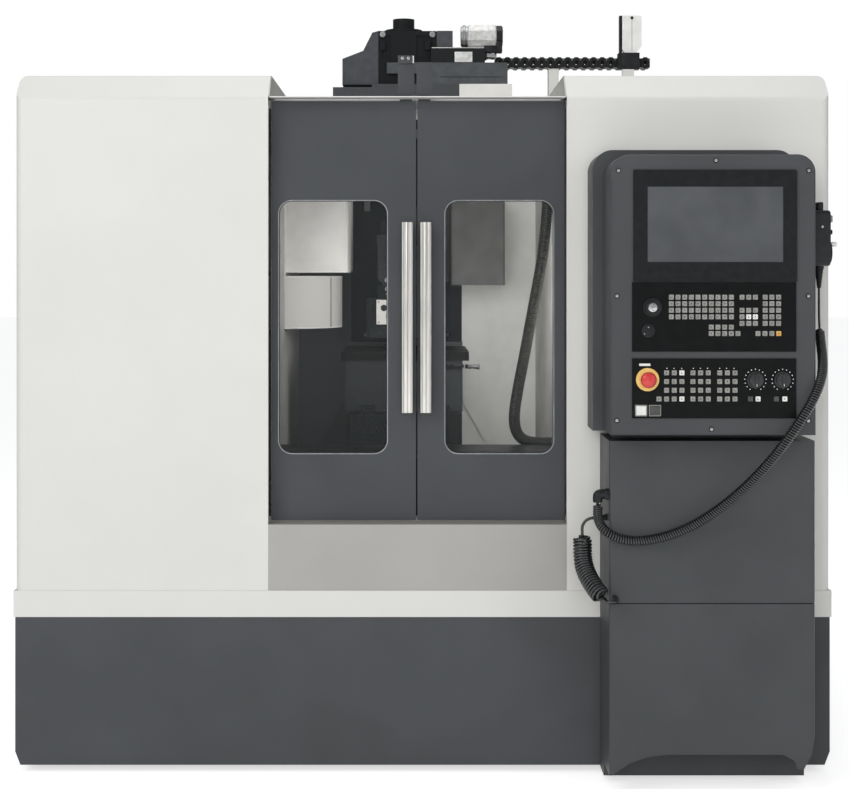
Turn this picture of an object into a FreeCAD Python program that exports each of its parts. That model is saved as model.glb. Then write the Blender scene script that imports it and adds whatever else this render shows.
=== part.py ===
"""Vertical machining centre with a sheet-metal enclosure, two sliding doors and an operator pendant.

Millimetres. The front faces -Y, +X is to the operator's right and +Z is up. The origin lies on the
floor under the middle of the machine. Depths are counted back from the enclosure's front plane.
"""
import FreeCAD, Part
import bisect
import math
import os
import re
import Sketcher

V = FreeCAD.Vector
doc = FreeCAD.newDocument("machining_centre")

# Driving dimensions. Each can be set by itself.
SIZES = {
    # enclosure
    "enclosure_width": 2200,
    "machine_depth": 2000,
    "ground_gap": 20,
    "skirt_height": 400,
    "skirt_cut_run": 14,
    "skirt_cut_rise": 36,
    "band_height": 71,
    "band_proud": 4,
    "band_bar": 44,
    "fold_height": 1821,
    "roof_height": 1890,
    "roof_slope": 80,
    "cover_round": 20,
    "sheet_wall": 3,
    "recess_left": -417,
    "recess_right": 390,
    # doors
    "door_depth": 55,
    "door_thick": 30,
    "door_sill": 669,
    "door_lift": 5,
    "door_top": 1818,
    "door_side_gap": 4,
    "door_parting": -15.5,
    "door_parting_gap": 4,
    "door_travel": 340,
    "track_wide": 8,
    "track_high": 15,
    "track_play": 2,
    "rest_gap": 0.3,
    "window_low": 854,
    "window_high": 1548,
    "window_wide": 300,
    "window_edge": 18,
    "window_round": 38,
    "window_lip": 6,
    "rebate": 12,
    "pane_thick": 6,
    "pane_play": 2,
    "handle_wide": 31,
    "handle_low": 970,
    "handle_long": 516,
    "handle_thick": 12,
    "handle_stand": 50,
    "handle_left_x": -41,
    "handle_right_x": 9,
    "handle_post": 24,
    "handle_post_inset": 16,
    "bracket_wide": 33,
    "bracket_thick": 10,
    "bracket_top": 1925,
    "bracket_tip": 18,
    # work area
    "wall_play": 7,
    "roof_end": 700,
    "roof_under": 1823,
    "roof_upstand": 24,
    "guide_flange": 22,
    "roof_slot": 26,
    "floor_height": 842,
    "floor_lip": 487,
    "pan_height": 640,
    "back_depth": 1272,
    "cover_slot_wide": 18,
    "cover_slot_top": 1700,
    "back_top": 1840,
    "arch_low": 774,
    "arch_high": 920,
    "arch_wide": 565,
    "arch_neck": 402,
    "head_gap_low": 1120,
    "head_gap_top": 1810,
    "head_gap_left": -290,
    "head_gap_right": 270,
    # bed, saddle and table
    "mill_x": -50,
    "bed_wide": 346,
    "bed_front": 520,
    "bed_height": 930,
    "rear_bed_height": 500,
    "rear_bed_wide": 1520,
    "rear_bed_deep": 438,
    "base_wide": 1020,
    "base_high": 160,
    "base_front": 420,
    "way_high": 20,
    "way_wide": 40,
    "way_spread": 226,
    "rear_way_high": 30,
    "foot_wide": 90,
    "foot_thick": 14,
    "foot_stem": 24,
    "table_wide": 387,
    "table_deep": 510,
    "table_thick": 27,
    "table_height": 1112,
    "table_front": 600,
    "slot_neck": 14,
    "slot_neck_deep": 10,
    "slot_foot": 23,
    "slot_foot_deep": 8,
    "slot_pitch": 125,
    "saddle_wide": 355,
    "saddle_inset": 6,
    "saddle_skirt": 1,
    # column and head
    "column_wide": 416,
    "column_front": 1290,
    "column_deep": 350,
    "column_top": 1900,
    "column_recess_wide": 120,
    "column_recess_deep": 50,
    "head_travel_right": 115,
    "rail_wide": 20,
    "rail_high": 20,
    "rail_spread": 266,
    "rail_low": 1138,
    "cover_reach": 362,
    "cover_lap": 20,
    "head_wide": 244,
    "head_front": 760,
    "head_low": 1150,
    "head_block_top": 1273,
    "slide_front": 1215,
    "slide_wide": 324,
    "slide_top": 1560,
    "carriage_wide": 56,
    "carriage_long": 80,
    "spindle_depth": 855,
    "nose_low": 1138,
    "taper_mouth": 22.2,
    "taper_end": 12.5,
    "taper_long": 66,
    "motor_wide": 174,
    "motor_low": 1312,
    "motor_high": 1438,
    # tool changer
    "drum_x": -537,
    "drum_round": 286,
    "drum_low": 1181,
    "drum_high": 1342,
    "changer_right": -225,
    "changer_left": -720,
    "changer_front": 600,
    "changer_deep": 510,
    "changer_low": 1352,
    "changer_high": 1700,
    "changer_play": 6,
    "pocket_count": 12,
    # pendant and operator cabinet
    "pendant_face": 359,
    "pendant_left": 472,
    "pendant_wide": 513,
    "pendant_low": 940,
    "pendant_high": 1645,
    "pendant_round": 46,
    "pendant_edge": 4,
    "backing_left": 446,
    "backing_right": 980,
    "backing_low": 935,
    "backing_high": 1670,
    "backing_deep": 150,
    "backing_round": 52,
    "neck_left": 500,
    "neck_right": 960,
    "screen_left": 527,
    "screen_right": 937,
    "screen_low": 1324.5,
    "screen_high": 1606,
    "glass_left": 562,
    "glass_right": 903,
    "glass_low": 1374,
    "glass_high": 1564,
    "bezel_thick": 6,
    "bezel_pocket": 5,
    "glass_thick": 3,
    "glass_play": 0.5,
    "panel_thick": 4,
    "panel_left": 524,
    "panel_wide": 411,
    "keyboard_low": 1150,
    "keyboard_high": 1323.5,
    "operate_low": 983,
    "operate_high": 1133,
    "key_size": 12.5,
    "key_thick": 2,
    "key_pitch": 16.7,
    "stop_x": 562.6,
    "stop_z": 1080,
    "stop_round": 20,
    "stop_cap": 14,
    "stop_stand": 33,
    "stop_stem": 12,
    "stop_travel": 6,
    "button_wide": 25,
    "button_high": 23,
    "button_proud": 5,
    "button_travel": 3,
    "button_z": 1002.5,
    "start_x": 546.3,
    "hold_x": 581,
    "button_play": 0.5,
    "dial_z": 1079,
    "feed_dial_x": 832.8,
    "speed_dial_x": 900.7,
    "dial_round": 21,
    "dial_high": 18,
    "lock_x": 574.4,
    "lock_z": 1260.6,
    "lock_round": 19,
    "lock_high": 8,
    "key_bow_long": 26,
    "port_x": 563.9,
    "port_z": 1202.4,
    "port_round": 17,
    "console_left": 479,
    "console_wide": 529,
    "console_face": 245,
    "console_top": 916,
    "console_seam": 497,
    "console_joint": 3,
    "console_round": 8,
    "kick_height": 90,
    "kick_deep": 138,
    "kick_lift": 36,
    "kick_left": 143,
    "kick_right": 83,
    "kick_curve": 51,
    # hand-held unit
    "unit_thick": 52,
    "unit_deep": 78,
    "unit_middle": 261,
    "unit_low": 1365,
    "unit_high": 1507,
    "unit_round": 10,
    "hook_high": 23,
    "wheel_round": 30,
    "wheel_thick": 5,
    "wheel_z": 1400,
    "crank_round": 6.5,
    "crank_long": 17,
    "axis_knob_z": 1486,
    "axis_knob_round": 10,
    "scale_knob_z": 1452,
    "relief_x": 1014,
    "relief_long": 56,
    "relief_neck": 5,
    "relief_round": 11,
    "gland_depth": 235,
    "gland_low": 757,
    "gland_wide": 42,
    "gland_high": 35,
    "air_depth": 190,
    "air_z": 713,
    "air_fitting": 12,
    "air_socket_x": 13.5,
    "air_socket_z": 512,
    "air_socket_long": 38,
    "fitting_round": 9,
    "wire_round": 3.2,
    "curl_round": 11,
    "curl_count": 28,
    "hose_round": 4,
    "coil_round": 21,
    "coil_count": 6,
    "conduit_round": 17,
    # top drive
    "hood_top": 1996,
    "beam_top": 2069,
    "crown_left": -146.7,
    "crown_right": 53.9,
    "crown_top": 2179.5,
    "crown_deep": 170,
    "cap_x": -60,
    "cap_round": 37,
    "cap_top": 2227,
    "collar_round": 64,
    "servo_left": 135,
    "servo_body_left": 159,
    "servo_body_right": 258,
    "servo_right": 278,
    "servo_round": 39,
    "servo_z": 2161,
    "chain_left": 254,
    "chain_right": 797,
    "chain_low": 2057,
    "chain_high": 2096,
    "chain_back": 50,
    "chain_deep": 60,
    "chain_pitch": 29.6,
    "lamp_left": 688,
    "lamp_right": 754,
    "lamp_low": 2106,
    "lamp_high": 2234,
    # electrical cabinet
    "closet_front": 1700,
    "closet_top": 1800,
    "closet_door_thick": 5,
    "closet_door_gap": 1,
    "hinge_round": 7,
    "hinge_pin": 3,
    "hinge_long": 60,
    # further bed, rail and cover sizes
    "bed_low": 60,
    "bed_rib": 60,
    "bed_niche": 50,
    "bed_bevel": 12,
    "bed_play": 6,
    "rear_way_long": 950,
    "way_inset": 40,
    "front_foot_x": 410,
    "rear_foot_x": 690,
    "foot_nut": 14,
    "door_return": 28,
    "door_rim": 14,
    "handle_edge": 5,
    "changer_gap": 15,
    "changer_rim": 30,
    "arch_x": -62,
    "saddle_rib": 70,
    "saddle_niche": 18,
    "saddle_web": 26,
    "rail_top": 1805,
    "rail_waist": 3,
    "column_bevel": 20,
    "hood_left": -167,
    "hood_right": 309,
    "hood_wing": 133,
    "head_bevel": 10,
    "spindle_body": 45,
    "spindle_neck": 28,
    "spindle_shoulder": 1262,
    "drive_key": 3,
    "carriage_clear": 4,
    "motor_cut": 20,
    "motor_round": 62,
    "coolant_left": -140,
    "coolant_wide": 110,
    "coolant_low": 1192,
    "coolant_high": 76,
    "side_cover_left": 94,
    "side_cover_wide": 173,
    "side_cover_low": 1313,
    "side_cover_high": 290,
    "side_cover_depth": 926,
    "hub_round": 60,
    "drum_shaft": 25,
    "drum_disc_round": 200,
    "drum_disc_low": 1290,
    "drum_disc_thick": 20,
    "tool_round": 27,
    "beam_step": 24,
    "beam_right": 294,
    "case_left": 33.5,
    "case_right": 217,
    "case_top": 2118,
    "link_gap": 2.5,
    "socket_deep": 22,
    "dial_shaft": 4,
    "key_row": 16.4,
    "wide_pitch": 19.2,
    "tall_row": 21.8,
    "duct_deep": 60,
    "duct_wide": 50,
    "duct_pitch": 380,
    "hinge_low": 700,
    "hinge_high": 1450,
    "closet_latch": 1100,
}

# Places and lengths that follow from the sizes above.
PLACES = {
    "reach": "pendant_face + stop_stand",
    "front_y": "(reach - machine_depth) / 2",
    "rear_y": "front_y + machine_depth - 10",
    "cover_left": "-enclosure_width / 2",
    "cover_right": "enclosure_width / 2",
    "skirt_top": "ground_gap + skirt_height",
    "band_top": "skirt_top + band_height",
    "wall_left": "recess_left + sheet_wall",
    "wall_right": "recess_right - sheet_wall",
    "door_y": "front_y + door_depth",
    "door_back": "door_y + door_thick",
    "door_low": "door_sill + door_lift",
    "wall_start": "door_depth + door_thick + wall_play",
    "track_y": "door_y + door_thick / 2",
    "track_left": "recess_left - door_travel - 13",
    "track_right": "recess_right + door_travel + 15",
    "left_door_x": "recess_left + door_side_gap + 1",
    "left_door_end": "door_parting - door_parting_gap / 2",
    "right_door_x": "door_parting + door_parting_gap / 2",
    "right_door_end": "recess_right - 1",
    "left_window_x": "left_door_x + window_edge",
    "right_window_end": "right_door_end - window_edge - 11",
    "back_y": "front_y + back_depth",
    "slot_y": "back_y + 6",
    "bed_left": "mill_x - bed_wide / 2 - 3",
    "bed_right": "mill_x + bed_wide / 2 - 3",
    "bed_end": "back_y - 10",
    "rear_bed_y": "back_y - 30",
    "rear_bed_back": "rear_bed_y + rear_bed_deep",
    "rear_way_top": "rear_bed_height + rear_way_high",
    "saddle_x": "mill_x - 4",
    "table_x": "mill_x - 0.5",
    "slot_low": "table_height - slot_neck_deep - slot_foot_deep",
    "slot_mid": "table_height - slot_neck_deep",
    "groove_top": "door_sill + track_high + rest_gap",
    "groove_wide": "track_wide + 2 * track_play",
    "side_cover_y": "front_y + side_cover_depth",
    "table_y": "front_y + table_front",
    "table_back": "table_y + table_deep",
    "table_under": "table_height - table_thick",
    "saddle_y": "table_y + saddle_inset",
    "saddle_back": "table_back - saddle_inset",
    "way_top": "bed_height + way_high",
    "column_y": "front_y + column_front",
    "column_back": "column_y + column_deep",
    "column_left": "mill_x - column_wide / 2",
    "column_right": "mill_x + column_wide / 2",
    "rail_y": "column_y - rail_high",
    "slide_y": "front_y + slide_front",
    "slide_back": "rail_y - 8",
    "head_y": "front_y + head_front",
    "head_left": "mill_x - head_wide / 2",
    "head_right": "mill_x + head_wide / 2",
    "spindle_y": "front_y + spindle_depth",
    "changer_y": "front_y + changer_front",
    "changer_back": "changer_y + changer_deep",
    "pendant_y": "front_y - pendant_face",
    "pendant_right": "pendant_left + pendant_wide",
    "backing_y": "front_y - backing_deep",
    "panel_right": "panel_left + panel_wide",
    "panel_y": "pendant_y - panel_thick",
    "console_y": "front_y - console_face",
    "console_right": "console_left + console_wide",
    "console_back": "front_y - band_proud",
    "unit_x": "pendant_right + unit_thick",
    "unit_y": "front_y - unit_middle",
    "kick_top": "ground_gap + kick_height",
    "kick_low": "ground_gap + kick_lift",
    "gland_x": "console_left - gland_wide + fitting_round + 4",
    "gland_y": "front_y - gland_depth",
    "air_y": "front_y - air_depth",
    "air_socket": "console_left + air_socket_x",
    "crown_y": "column_y + 4 + beam_step",
    "beam_back": "crown_y - 8.3",
    "servo_y": "crown_y + servo_round - 30",
    "chain_y": "crown_y + chain_back",
    "closet_y": "front_y + closet_front",
    "closet_back": "rear_y",
    "closet_door_y": "closet_back + closet_door_gap",
    "closet_left": "wall_left + 4",
    "closet_right": "wall_right - 4",
    "hinge_x": "closet_left - 11",
    "hinge_y": "closet_back + closet_door_gap + hinge_round",
}


def words_to_cells(text, own=()):
    """Turns the plain names in a rule into references to the sheets' cells."""
    def cell(found):
        word = found[0]
        if word in SIZES:
            return "Sizes." + word
        if word in PLACES and word not in own:
            return "Places." + word
        return word
    return re.sub(r"[a-z][a-z_0-9]+", cell, str(text))


def fill_sheet(name, rows, formula):
    """Writes one spreadsheet: a name, its value or formula, and the alias for it."""
    sheet = doc.addObject("Spreadsheet::Sheet", name)
    for row, (alias, content) in enumerate(rows.items(), 1):
        sheet.set("A%d" % row, alias)
        sheet.set("B%d" % row, "=" + words_to_cells(content, rows) if formula else str(content))
        sheet.setAlias("B%d" % row, alias)
    doc.recompute()
    return sheet


sizes = fill_sheet("Sizes", SIZES, False)
places = fill_sheet("Places", PLACES, True)


def at(word):
    """The number behind one name."""
    return float(sizes.get(word) if word in SIZES else places.get(word))


def bind(thing, rules):
    for prop, text in rules.items():
        thing.setExpression(prop, words_to_cells(text))


def block(x, y, z):
    """A plain block between three pairs of places."""
    thing = doc.addObject("Part::Box", "block")
    for size, axis, (low, high) in zip(("Length", "Width", "Height"), "xyz", (x, y, z)):
        bind(thing, {size: "(%s) - (%s)" % (high, low), "Placement.Base." + axis: low})
    return thing


TURNS = {"x": FreeCAD.Rotation(V(0, 1, 0), 90), "y": FreeCAD.Rotation(V(1, 0, 0), -90),
         "z": FreeCAD.Rotation()}


def lay(thing, axis, centre, span):
    """Lays a round along an axis: centre gives the two other places in x, y, z order."""
    thing.Placement = FreeCAD.Placement(V(0, 0, 0), TURNS[axis])
    spots = list(centre)
    spots.insert("xyz".index(axis), span[0])
    bind(thing, {"Placement.Base." + letter: spot for letter, spot in zip("xyz", spots)})
    bind(thing, {"Height": "(%s) - (%s)" % (span[1], span[0])})
    return thing


def rod(axis, centre, span, radius):
    thing = doc.addObject("Part::Cylinder", "rod")
    bind(thing, {"Radius": radius})
    return lay(thing, axis, centre, span)


def taper(axis, centre, span, radius_low, radius_high):
    thing = doc.addObject("Part::Cone", "taper")
    bind(thing, {"Radius1": radius_low, "Radius2": radius_high})
    return lay(thing, axis, centre, span)


def prism(axis, centre, span, radius, corners):
    """A bar with flat sides, for a nut, a knurled grip or a splined shaft."""
    thing = doc.addObject("Part::Prism", "prism")
    thing.Polygon = corners
    bind(thing, {"Circumradius": radius})
    return lay(thing, axis, centre, span)


def fuse(*things):
    if len(things) == 1:
        return things[0]
    joined = doc.addObject("Part::MultiFuse", "joined")
    joined.Shapes = [getattr(thing, "body", thing) for thing in things]
    return joined


def cut(base, *tools):
    result = doc.addObject("Part::Cut", "cut")
    result.Base = getattr(base, "body", base)
    result.Tool = fuse(*tools)
    return result


def group(*things):
    """Separate solids of one kind that share a node."""
    kept = doc.addObject("Part::Compound", "group")
    kept.Links = [getattr(thing, "body", thing) for thing in things]
    return kept


PIECES = {}


def piece(name, thing):
    thing = getattr(thing, "body", thing)
    thing.Label = name
    PIECES[name] = thing


class Grown:
    """A body grown from sketches on its own origin planes, in the part's own coordinates.

    A sketch on XY takes (x, y), one on XZ takes (x, z) and one on YZ takes (y, z).
    """

    def __init__(self):
        self.body = doc.addObject("PartDesign::Body", "body")

    def sketch(self, plane, level, outlines):
        drawing = self.body.newObject("Sketcher::SketchObject", "sketch")
        role = plane + "_Plane"
        support = [part for part in self.body.Origin.OriginFeatures if part.Role == role][0]
        drawing.AttachmentSupport = [(support, "")]
        drawing.MapMode = "FlatFace"
        bind(drawing, {"AttachmentOffset.Base.z": level})
        for outline in outlines:
            if outline[0] == "circle":
                self.circle(drawing, *outline[1:])
            else:
                self.polygon(drawing, outline)
        return drawing

    @staticmethod
    def place(drawing, geometry, point, spot, guess):
        for kind, text, first in zip(("DistanceX", "DistanceY"), spot, guess):
            number = drawing.addConstraint(Sketcher.Constraint(kind, -1, 1, geometry, point, first))
            drawing.setExpression("Constraints[%d]" % number, words_to_cells(text))

    def polygon(self, drawing, corners):
        count = len(corners)
        first = drawing.GeometryCount
        turn = 2 * math.pi / count
        guesses = [(math.cos(turn * index), math.sin(turn * index)) for index in range(count)]
        for index in range(count):
            ends = [V(*guesses[(index + step) % count], 0) for step in (0, 1)]
            drawing.addGeometry(Part.LineSegment(*ends), False)
        for index in range(count):
            following = first + (index + 1) % count
            drawing.addConstraint(Sketcher.Constraint("Coincident", first + index, 2, following, 1))
        for index, corner in enumerate(corners):
            self.place(drawing, first + index, 1, corner, guesses[index])

    def circle(self, drawing, x, y, radius):
        number = drawing.addGeometry(Part.Circle(V(1, 1, 0), V(0, 0, 1), 1), False)
        self.place(drawing, number, 3, (x, y), (1, 1))
        size = drawing.addConstraint(Sketcher.Constraint("Radius", number, 1))
        drawing.setExpression("Constraints[%d]" % size, words_to_cells(radius))

    def pad(self, plane, span, *outlines):
        """Fills the outlines between two levels along the plane's axis."""
        level = "-(%s)" % span[1] if plane == "XZ" else span[0]
        return self.feature("PartDesign::Pad", plane, level, span, outlines)

    def pocket(self, plane, span, *outlines):
        """Removes the outlines between two levels along the plane's axis."""
        level = "-(%s)" % span[0] if plane == "XZ" else span[1]
        before = self.volume()
        thing = self.feature("PartDesign::Pocket", plane, level, span, outlines)
        if self.volume() >= before:
            raise RuntimeError("a pocket cut nothing: " + str(outlines))
        return thing

    def feature(self, kind, plane, level, span, outlines):
        drawing = self.sketch(plane, level, outlines)
        thing = self.body.newObject(kind, "feature")
        thing.Profile = drawing
        bind(thing, {"Length": "(%s) - (%s)" % (span[1], span[0])})
        doc.recompute()
        return thing

    def volume(self):
        return self.body.Tip.Shape.Volume

    def pick(self, kind, axis, spots):
        """Names the faces square to an axis, or the straight edges along it, at given places."""
        shape = self.body.Tip.Shape
        box = shape.BoundBox
        limits = {"min": (box.XMin, box.YMin, box.ZMin), "max": (box.XMax, box.YMax, box.ZMax)}
        wanted = {}
        for letter, spot in spots.items():
            index = "xyz".index(letter)
            wanted[index] = limits[spot][index] if spot in limits else float(spot)
        names = []
        for number, item in enumerate(getattr(shape, kind + "s"), 1):
            size = item.BoundBox
            spans = (size.XLength, size.YLength, size.ZLength)
            along = "xyz".index(axis)
            if kind == "Edge" and max(spans[i] for i in range(3) if i != along) > 0.01:
                continue
            if kind == "Face" and spans[along] > 0.01:
                continue
            middle = size.Center
            if all(abs(middle[index] - place) < 0.1 for index, place in wanted.items()):
                names.append("%s%d" % (kind, number))
        if not names:
            raise RuntimeError("nothing to pick along %s at %s" % (axis, spots))
        return names

    def dress(self, kind, amount, picks):
        """Rounds or bevels the picked edges."""
        names = [name for axis, spots in picks for name in self.pick("Edge", axis, spots)]
        base = self.body.Tip
        thing = self.body.newObject(kind, "dress")
        thing.Base = (base, sorted(set(names)))
        bind(thing, {"Radius" if kind.endswith("Fillet") else "Size": amount})
        doc.recompute()

    def round(self, amount, *picks):
        self.dress("PartDesign::Fillet", amount, picks)

    def bevel(self, amount, *picks):
        self.dress("PartDesign::Chamfer", amount, picks)

    def hollow(self, wall, *open_faces):
        """Leaves an even wall inside the outer faces, open at the picked ones."""
        names = [name for axis, spots in open_faces for name in self.pick("Face", axis, spots)]
        base = self.body.Tip
        thing = self.body.newObject("PartDesign::Thickness", "hollow")
        thing.Base = (base, names)
        thing.Reversed = True
        thing.Join = 0
        bind(thing, {"Value": wall})
        doc.recompute()


def plate(plane, span, across, up):
    """A grown plate with a rectangular outline."""
    grown = Grown()
    grown.pad(plane, span, rectangle(across, up))
    return grown


def rectangle(across, up):
    return [(across[0], up[0]), (across[1], up[0]), (across[1], up[1]), (across[0], up[1])]


# The bed: a low base, a front block with two box ways for the saddle, and a rear block for the column.
bed = Grown()
bed.pad("XY", ("bed_low", "bed_low + base_high"),
        rectangle(("mill_x - base_wide / 2", "mill_x + base_wide / 2"),
                  ("front_y + base_front", "back_y")))
bed.pad("XY", ("bed_low", "rear_bed_height"),
        rectangle(("-rear_bed_wide / 2", "rear_bed_wide / 2"), ("rear_bed_y", "rear_bed_back")))
bed.pad("XY", ("bed_low", "bed_height"),
        rectangle(("bed_left", "bed_right"), ("front_y + bed_front", "bed_end")))
bed.pad("XY", ("bed_height", "way_top"),
        *[rectangle(("mill_x %s way_spread / 2 - way_wide / 2" % side,
                     "mill_x %s way_spread / 2 + way_wide / 2" % side),
                    ("front_y + bed_front", "bed_end")) for side in "-+"])
bed.pad("XY", ("rear_bed_height", "rear_way_top"),
        *[rectangle(("mill_x - rear_way_long / 2", "mill_x + rear_way_long / 2"),
                    (middle + " - way_wide / 2", middle + " + way_wide / 2"))
          for middle in ("column_y + way_inset", "column_back - way_inset")])
for x in (("bed_left", "bed_left + bed_niche"), ("bed_right - bed_niche", "bed_right")):
    bed.pocket("YZ", x, rectangle(("front_y + bed_front + bed_rib", "bed_end - bed_rib"),
                                  ("bed_low + base_high + 40", "pan_height - 60")))
bed.bevel("bed_bevel", ("z", {"x": at("bed_left"), "y": at("front_y") + at("bed_front")}),
          ("z", {"x": at("bed_right"), "y": at("front_y") + at("bed_front")}))
piece("bed_casting", bed)

# Levelling feet: a pad, a threaded stem and its lock nut.
feet = []
for x, y in (("-rear_foot_x", "rear_bed_back - foot_wide"), ("rear_foot_x", "rear_bed_back - foot_wide"),
             ("-rear_foot_x", "rear_bed_y + foot_wide"), ("rear_foot_x", "rear_bed_y + foot_wide"),
             ("mill_x - front_foot_x", "front_y + base_front + foot_wide"),
             ("mill_x + front_foot_x", "front_y + base_front + foot_wide")):
    feet.append(fuse(rod("z", (x, y), ("0", "foot_thick"), "foot_wide / 2"),
                     prism("z", (x, y), ("foot_thick / 2", "bed_low"), "foot_stem / 2", 12),
                     prism("z", (x, y), ("bed_low - foot_nut", "bed_low"), "foot_stem", 6)))
piece("levelling_feet", group(*feet))

# The skirt: one folded sheet round the base, its lower side corners cut back.
skirt = Grown()
skirt.pad("XZ", ("front_y", "rear_y"),
          [("cover_left + skirt_cut_run", "ground_gap"), ("cover_right - skirt_cut_run", "ground_gap"),
           ("cover_right", "ground_gap + skirt_cut_rise"), ("cover_right", "skirt_top"),
           ("cover_left", "skirt_top"), ("cover_left", "ground_gap + skirt_cut_rise")])
skirt.hollow("sheet_wall", ("z", {"z": "min"}), ("z", {"z": "max"}))
piece("base_skirt", skirt)

# The frame that carries the covers: a flat ring of square section.
band = plate("XY", ("skirt_top", "band_top"), ("cover_left - band_proud", "cover_right + band_proud"),
             ("front_y - band_proud", "rear_y"))
band.pocket("XY", ("skirt_top", "band_top"),
            rectangle(("cover_left + band_bar", "cover_right - band_bar"),
                      ("front_y + band_bar", "rear_y - band_bar")))
band.pad("XY", ("skirt_top", "band_top"),
         *[rectangle(x, ("rear_bed_y + 60", "rear_bed_y + 60 + band_bar"))
           for x in (("cover_left + band_bar - 1", "-rear_bed_wide / 2"),
                     ("rear_bed_wide / 2", "cover_right - band_bar + 1"))])
piece("frame_band", band)

# Side covers: folded sheet with a sloping shoulder, open below and towards the doors.
for name, near, far, inside, outside in (("left_cover", "cover_left", "recess_left", "max", "min"),
                                         ("right_cover", "recess_right", "cover_right", "min", "max")):
    cover = Grown()
    cover.pad("YZ", (near, far),
              [("front_y", "band_top"), ("rear_y", "band_top"), ("rear_y", "roof_height"),
               ("front_y + roof_slope", "roof_height"), ("front_y", "fold_height")])
    cover.round("cover_round", ("z", {"x": outside, "y": "min"}),
                ("x", {"z": at("fold_height")}), ("x", {"z": "max", "y": at("front_y") + at("roof_slope")}),
                ("y", {"x": outside, "z": "max"}))
    cover.hollow("sheet_wall", ("x", {"x": inside}), ("z", {"z": "min"}))
    edge = {"left_cover": ("recess_left - sheet_wall", "recess_left"),
            "right_cover": ("recess_right", "recess_right + sheet_wall")}[name]
    cover.pad("YZ", edge, rectangle(("front_y + sheet_wall / 2", "front_y + door_return"),
                                    ("band_top", "fold_height - cover_round")))
    piece(name, cover)

# Inner walls: flat sheets between the side covers and the work area. Each has a slot for the column's
# sliding sheets, and the left one an opening for the tool changer.
walls = []
for x in (("recess_left", "wall_left"), ("wall_right", "recess_right")):
    wall = Grown()
    wall.pad("YZ", x, [("front_y + wall_start", "door_sill"), ("front_y + wall_start + 8", "door_sill"),
                       ("front_y + wall_start + 8", "pan_height"), ("rear_y - sheet_wall", "pan_height"),
                       ("rear_y - sheet_wall", "roof_height"), ("front_y + roof_slope", "roof_height"),
                       ("front_y + 8", "roof_under + sheet_wall"),
                       ("front_y + wall_start", "roof_under + sheet_wall")])
    wall.pocket("YZ", x, rectangle(("slot_y", "slot_y + cover_slot_wide"),
                                   ("pan_height - 10", "cover_slot_top")))
    if not walls:
        wall.pocket("YZ", x, rectangle(("changer_y - changer_gap", "changer_back + changer_gap"),
                                       ("drum_low - changer_play", "changer_high + changer_play")))
    walls.append(wall)
piece("inner_walls", group(*walls))

# The roof over the doors, with the slot that guides the door brackets and a rail behind the doors.
roof = Grown()
roof.pad("YZ", ("wall_left", "wall_right"),
         [("front_y", "roof_under"), ("front_y + roof_end", "roof_under"),
          ("front_y + roof_end", "roof_under + roof_upstand"),
          ("front_y + roof_end - sheet_wall", "roof_under + roof_upstand"),
          ("front_y + roof_end - sheet_wall", "roof_under + sheet_wall"),
          ("front_y", "roof_under + sheet_wall")])
roof.pocket("XY", ("roof_under", "roof_under + sheet_wall"),
            rectangle(("wall_left + 9", "wall_right - 9"),
                      ("track_y - roof_slot / 2", "track_y + roof_slot / 2")))
roof.pad("XZ", ("door_back + 2", "door_back + 2 + sheet_wall"),
         rectangle(("track_left", "track_right"), ("roof_under - guide_flange", "roof_under")))
piece("middle_roof", roof)

# The apron below the doors: its front sheet, the sill shelf and the ridge that the doors run on.
apron = Grown()
apron.pad("YZ", ("recess_left", "recess_right"),
          [("front_y", "band_top"), ("front_y + sheet_wall", "band_top"),
           ("front_y + sheet_wall", "door_sill - sheet_wall"),
           ("front_y + wall_start + 8", "door_sill - sheet_wall"),
           ("front_y + wall_start + 8", "door_sill"), ("front_y", "door_sill")])
apron.pad("XY", ("door_sill - sheet_wall", "door_sill + track_high"),
          rectangle(("track_left", "track_right"), ("track_y - track_wide / 2", "track_y + track_wide / 2")))
apron.round("2", ("x", {"z": "max", "y": at("track_y") - at("track_wide") / 2}),
            ("x", {"z": "max", "y": at("track_y") + at("track_wide") / 2}))
piece("front_apron", apron)

# The work area's floor: one folded sheet with the splash lip in front and a cut-out round the bed.
floor = Grown()
floor.pad("YZ", ("wall_left", "wall_right"),
          [("front_y + wall_start", "door_sill"), ("front_y + wall_start + sheet_wall", "door_sill"),
           ("front_y + wall_start + sheet_wall", "floor_height - sheet_wall"),
           ("front_y + floor_lip - sheet_wall", "floor_height - sheet_wall"),
           ("front_y + floor_lip - sheet_wall", "pan_height"), ("back_y", "pan_height"),
           ("back_y", "pan_height + sheet_wall"),
           ("front_y + floor_lip", "pan_height + sheet_wall"),
           ("front_y + floor_lip", "floor_height"), ("front_y + wall_start", "floor_height")])
floor.pocket("XY", ("pan_height", "pan_height + sheet_wall"),
             rectangle(("bed_left - bed_play", "bed_right + bed_play"),
                       ("front_y + bed_front - bed_play", "back_y")))
piece("work_floor", floor)

# The back wall: open for the head's carriages, with a sloping tunnel at the foot for the bed.
back = plate("XZ", ("back_y", "back_y + sheet_wall"), ("wall_left", "wall_right"), ("pan_height", "back_top"))
back.pocket("XZ", ("back_y", "back_y + sheet_wall"),
            rectangle(("head_gap_left", "head_gap_right"), ("head_gap_low", "head_gap_top")))
back.pocket("XZ", ("back_y", "back_y + sheet_wall"),
            [("arch_x - arch_wide / 2", "pan_height - 1"), ("arch_x + arch_wide / 2", "pan_height - 1"),
             ("arch_x + arch_wide / 2", "arch_low"), ("arch_x + arch_neck / 2", "arch_high"),
             ("arch_x - arch_neck / 2", "arch_high"), ("arch_x - arch_wide / 2", "arch_low")])
piece("back_wall", back)

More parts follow.
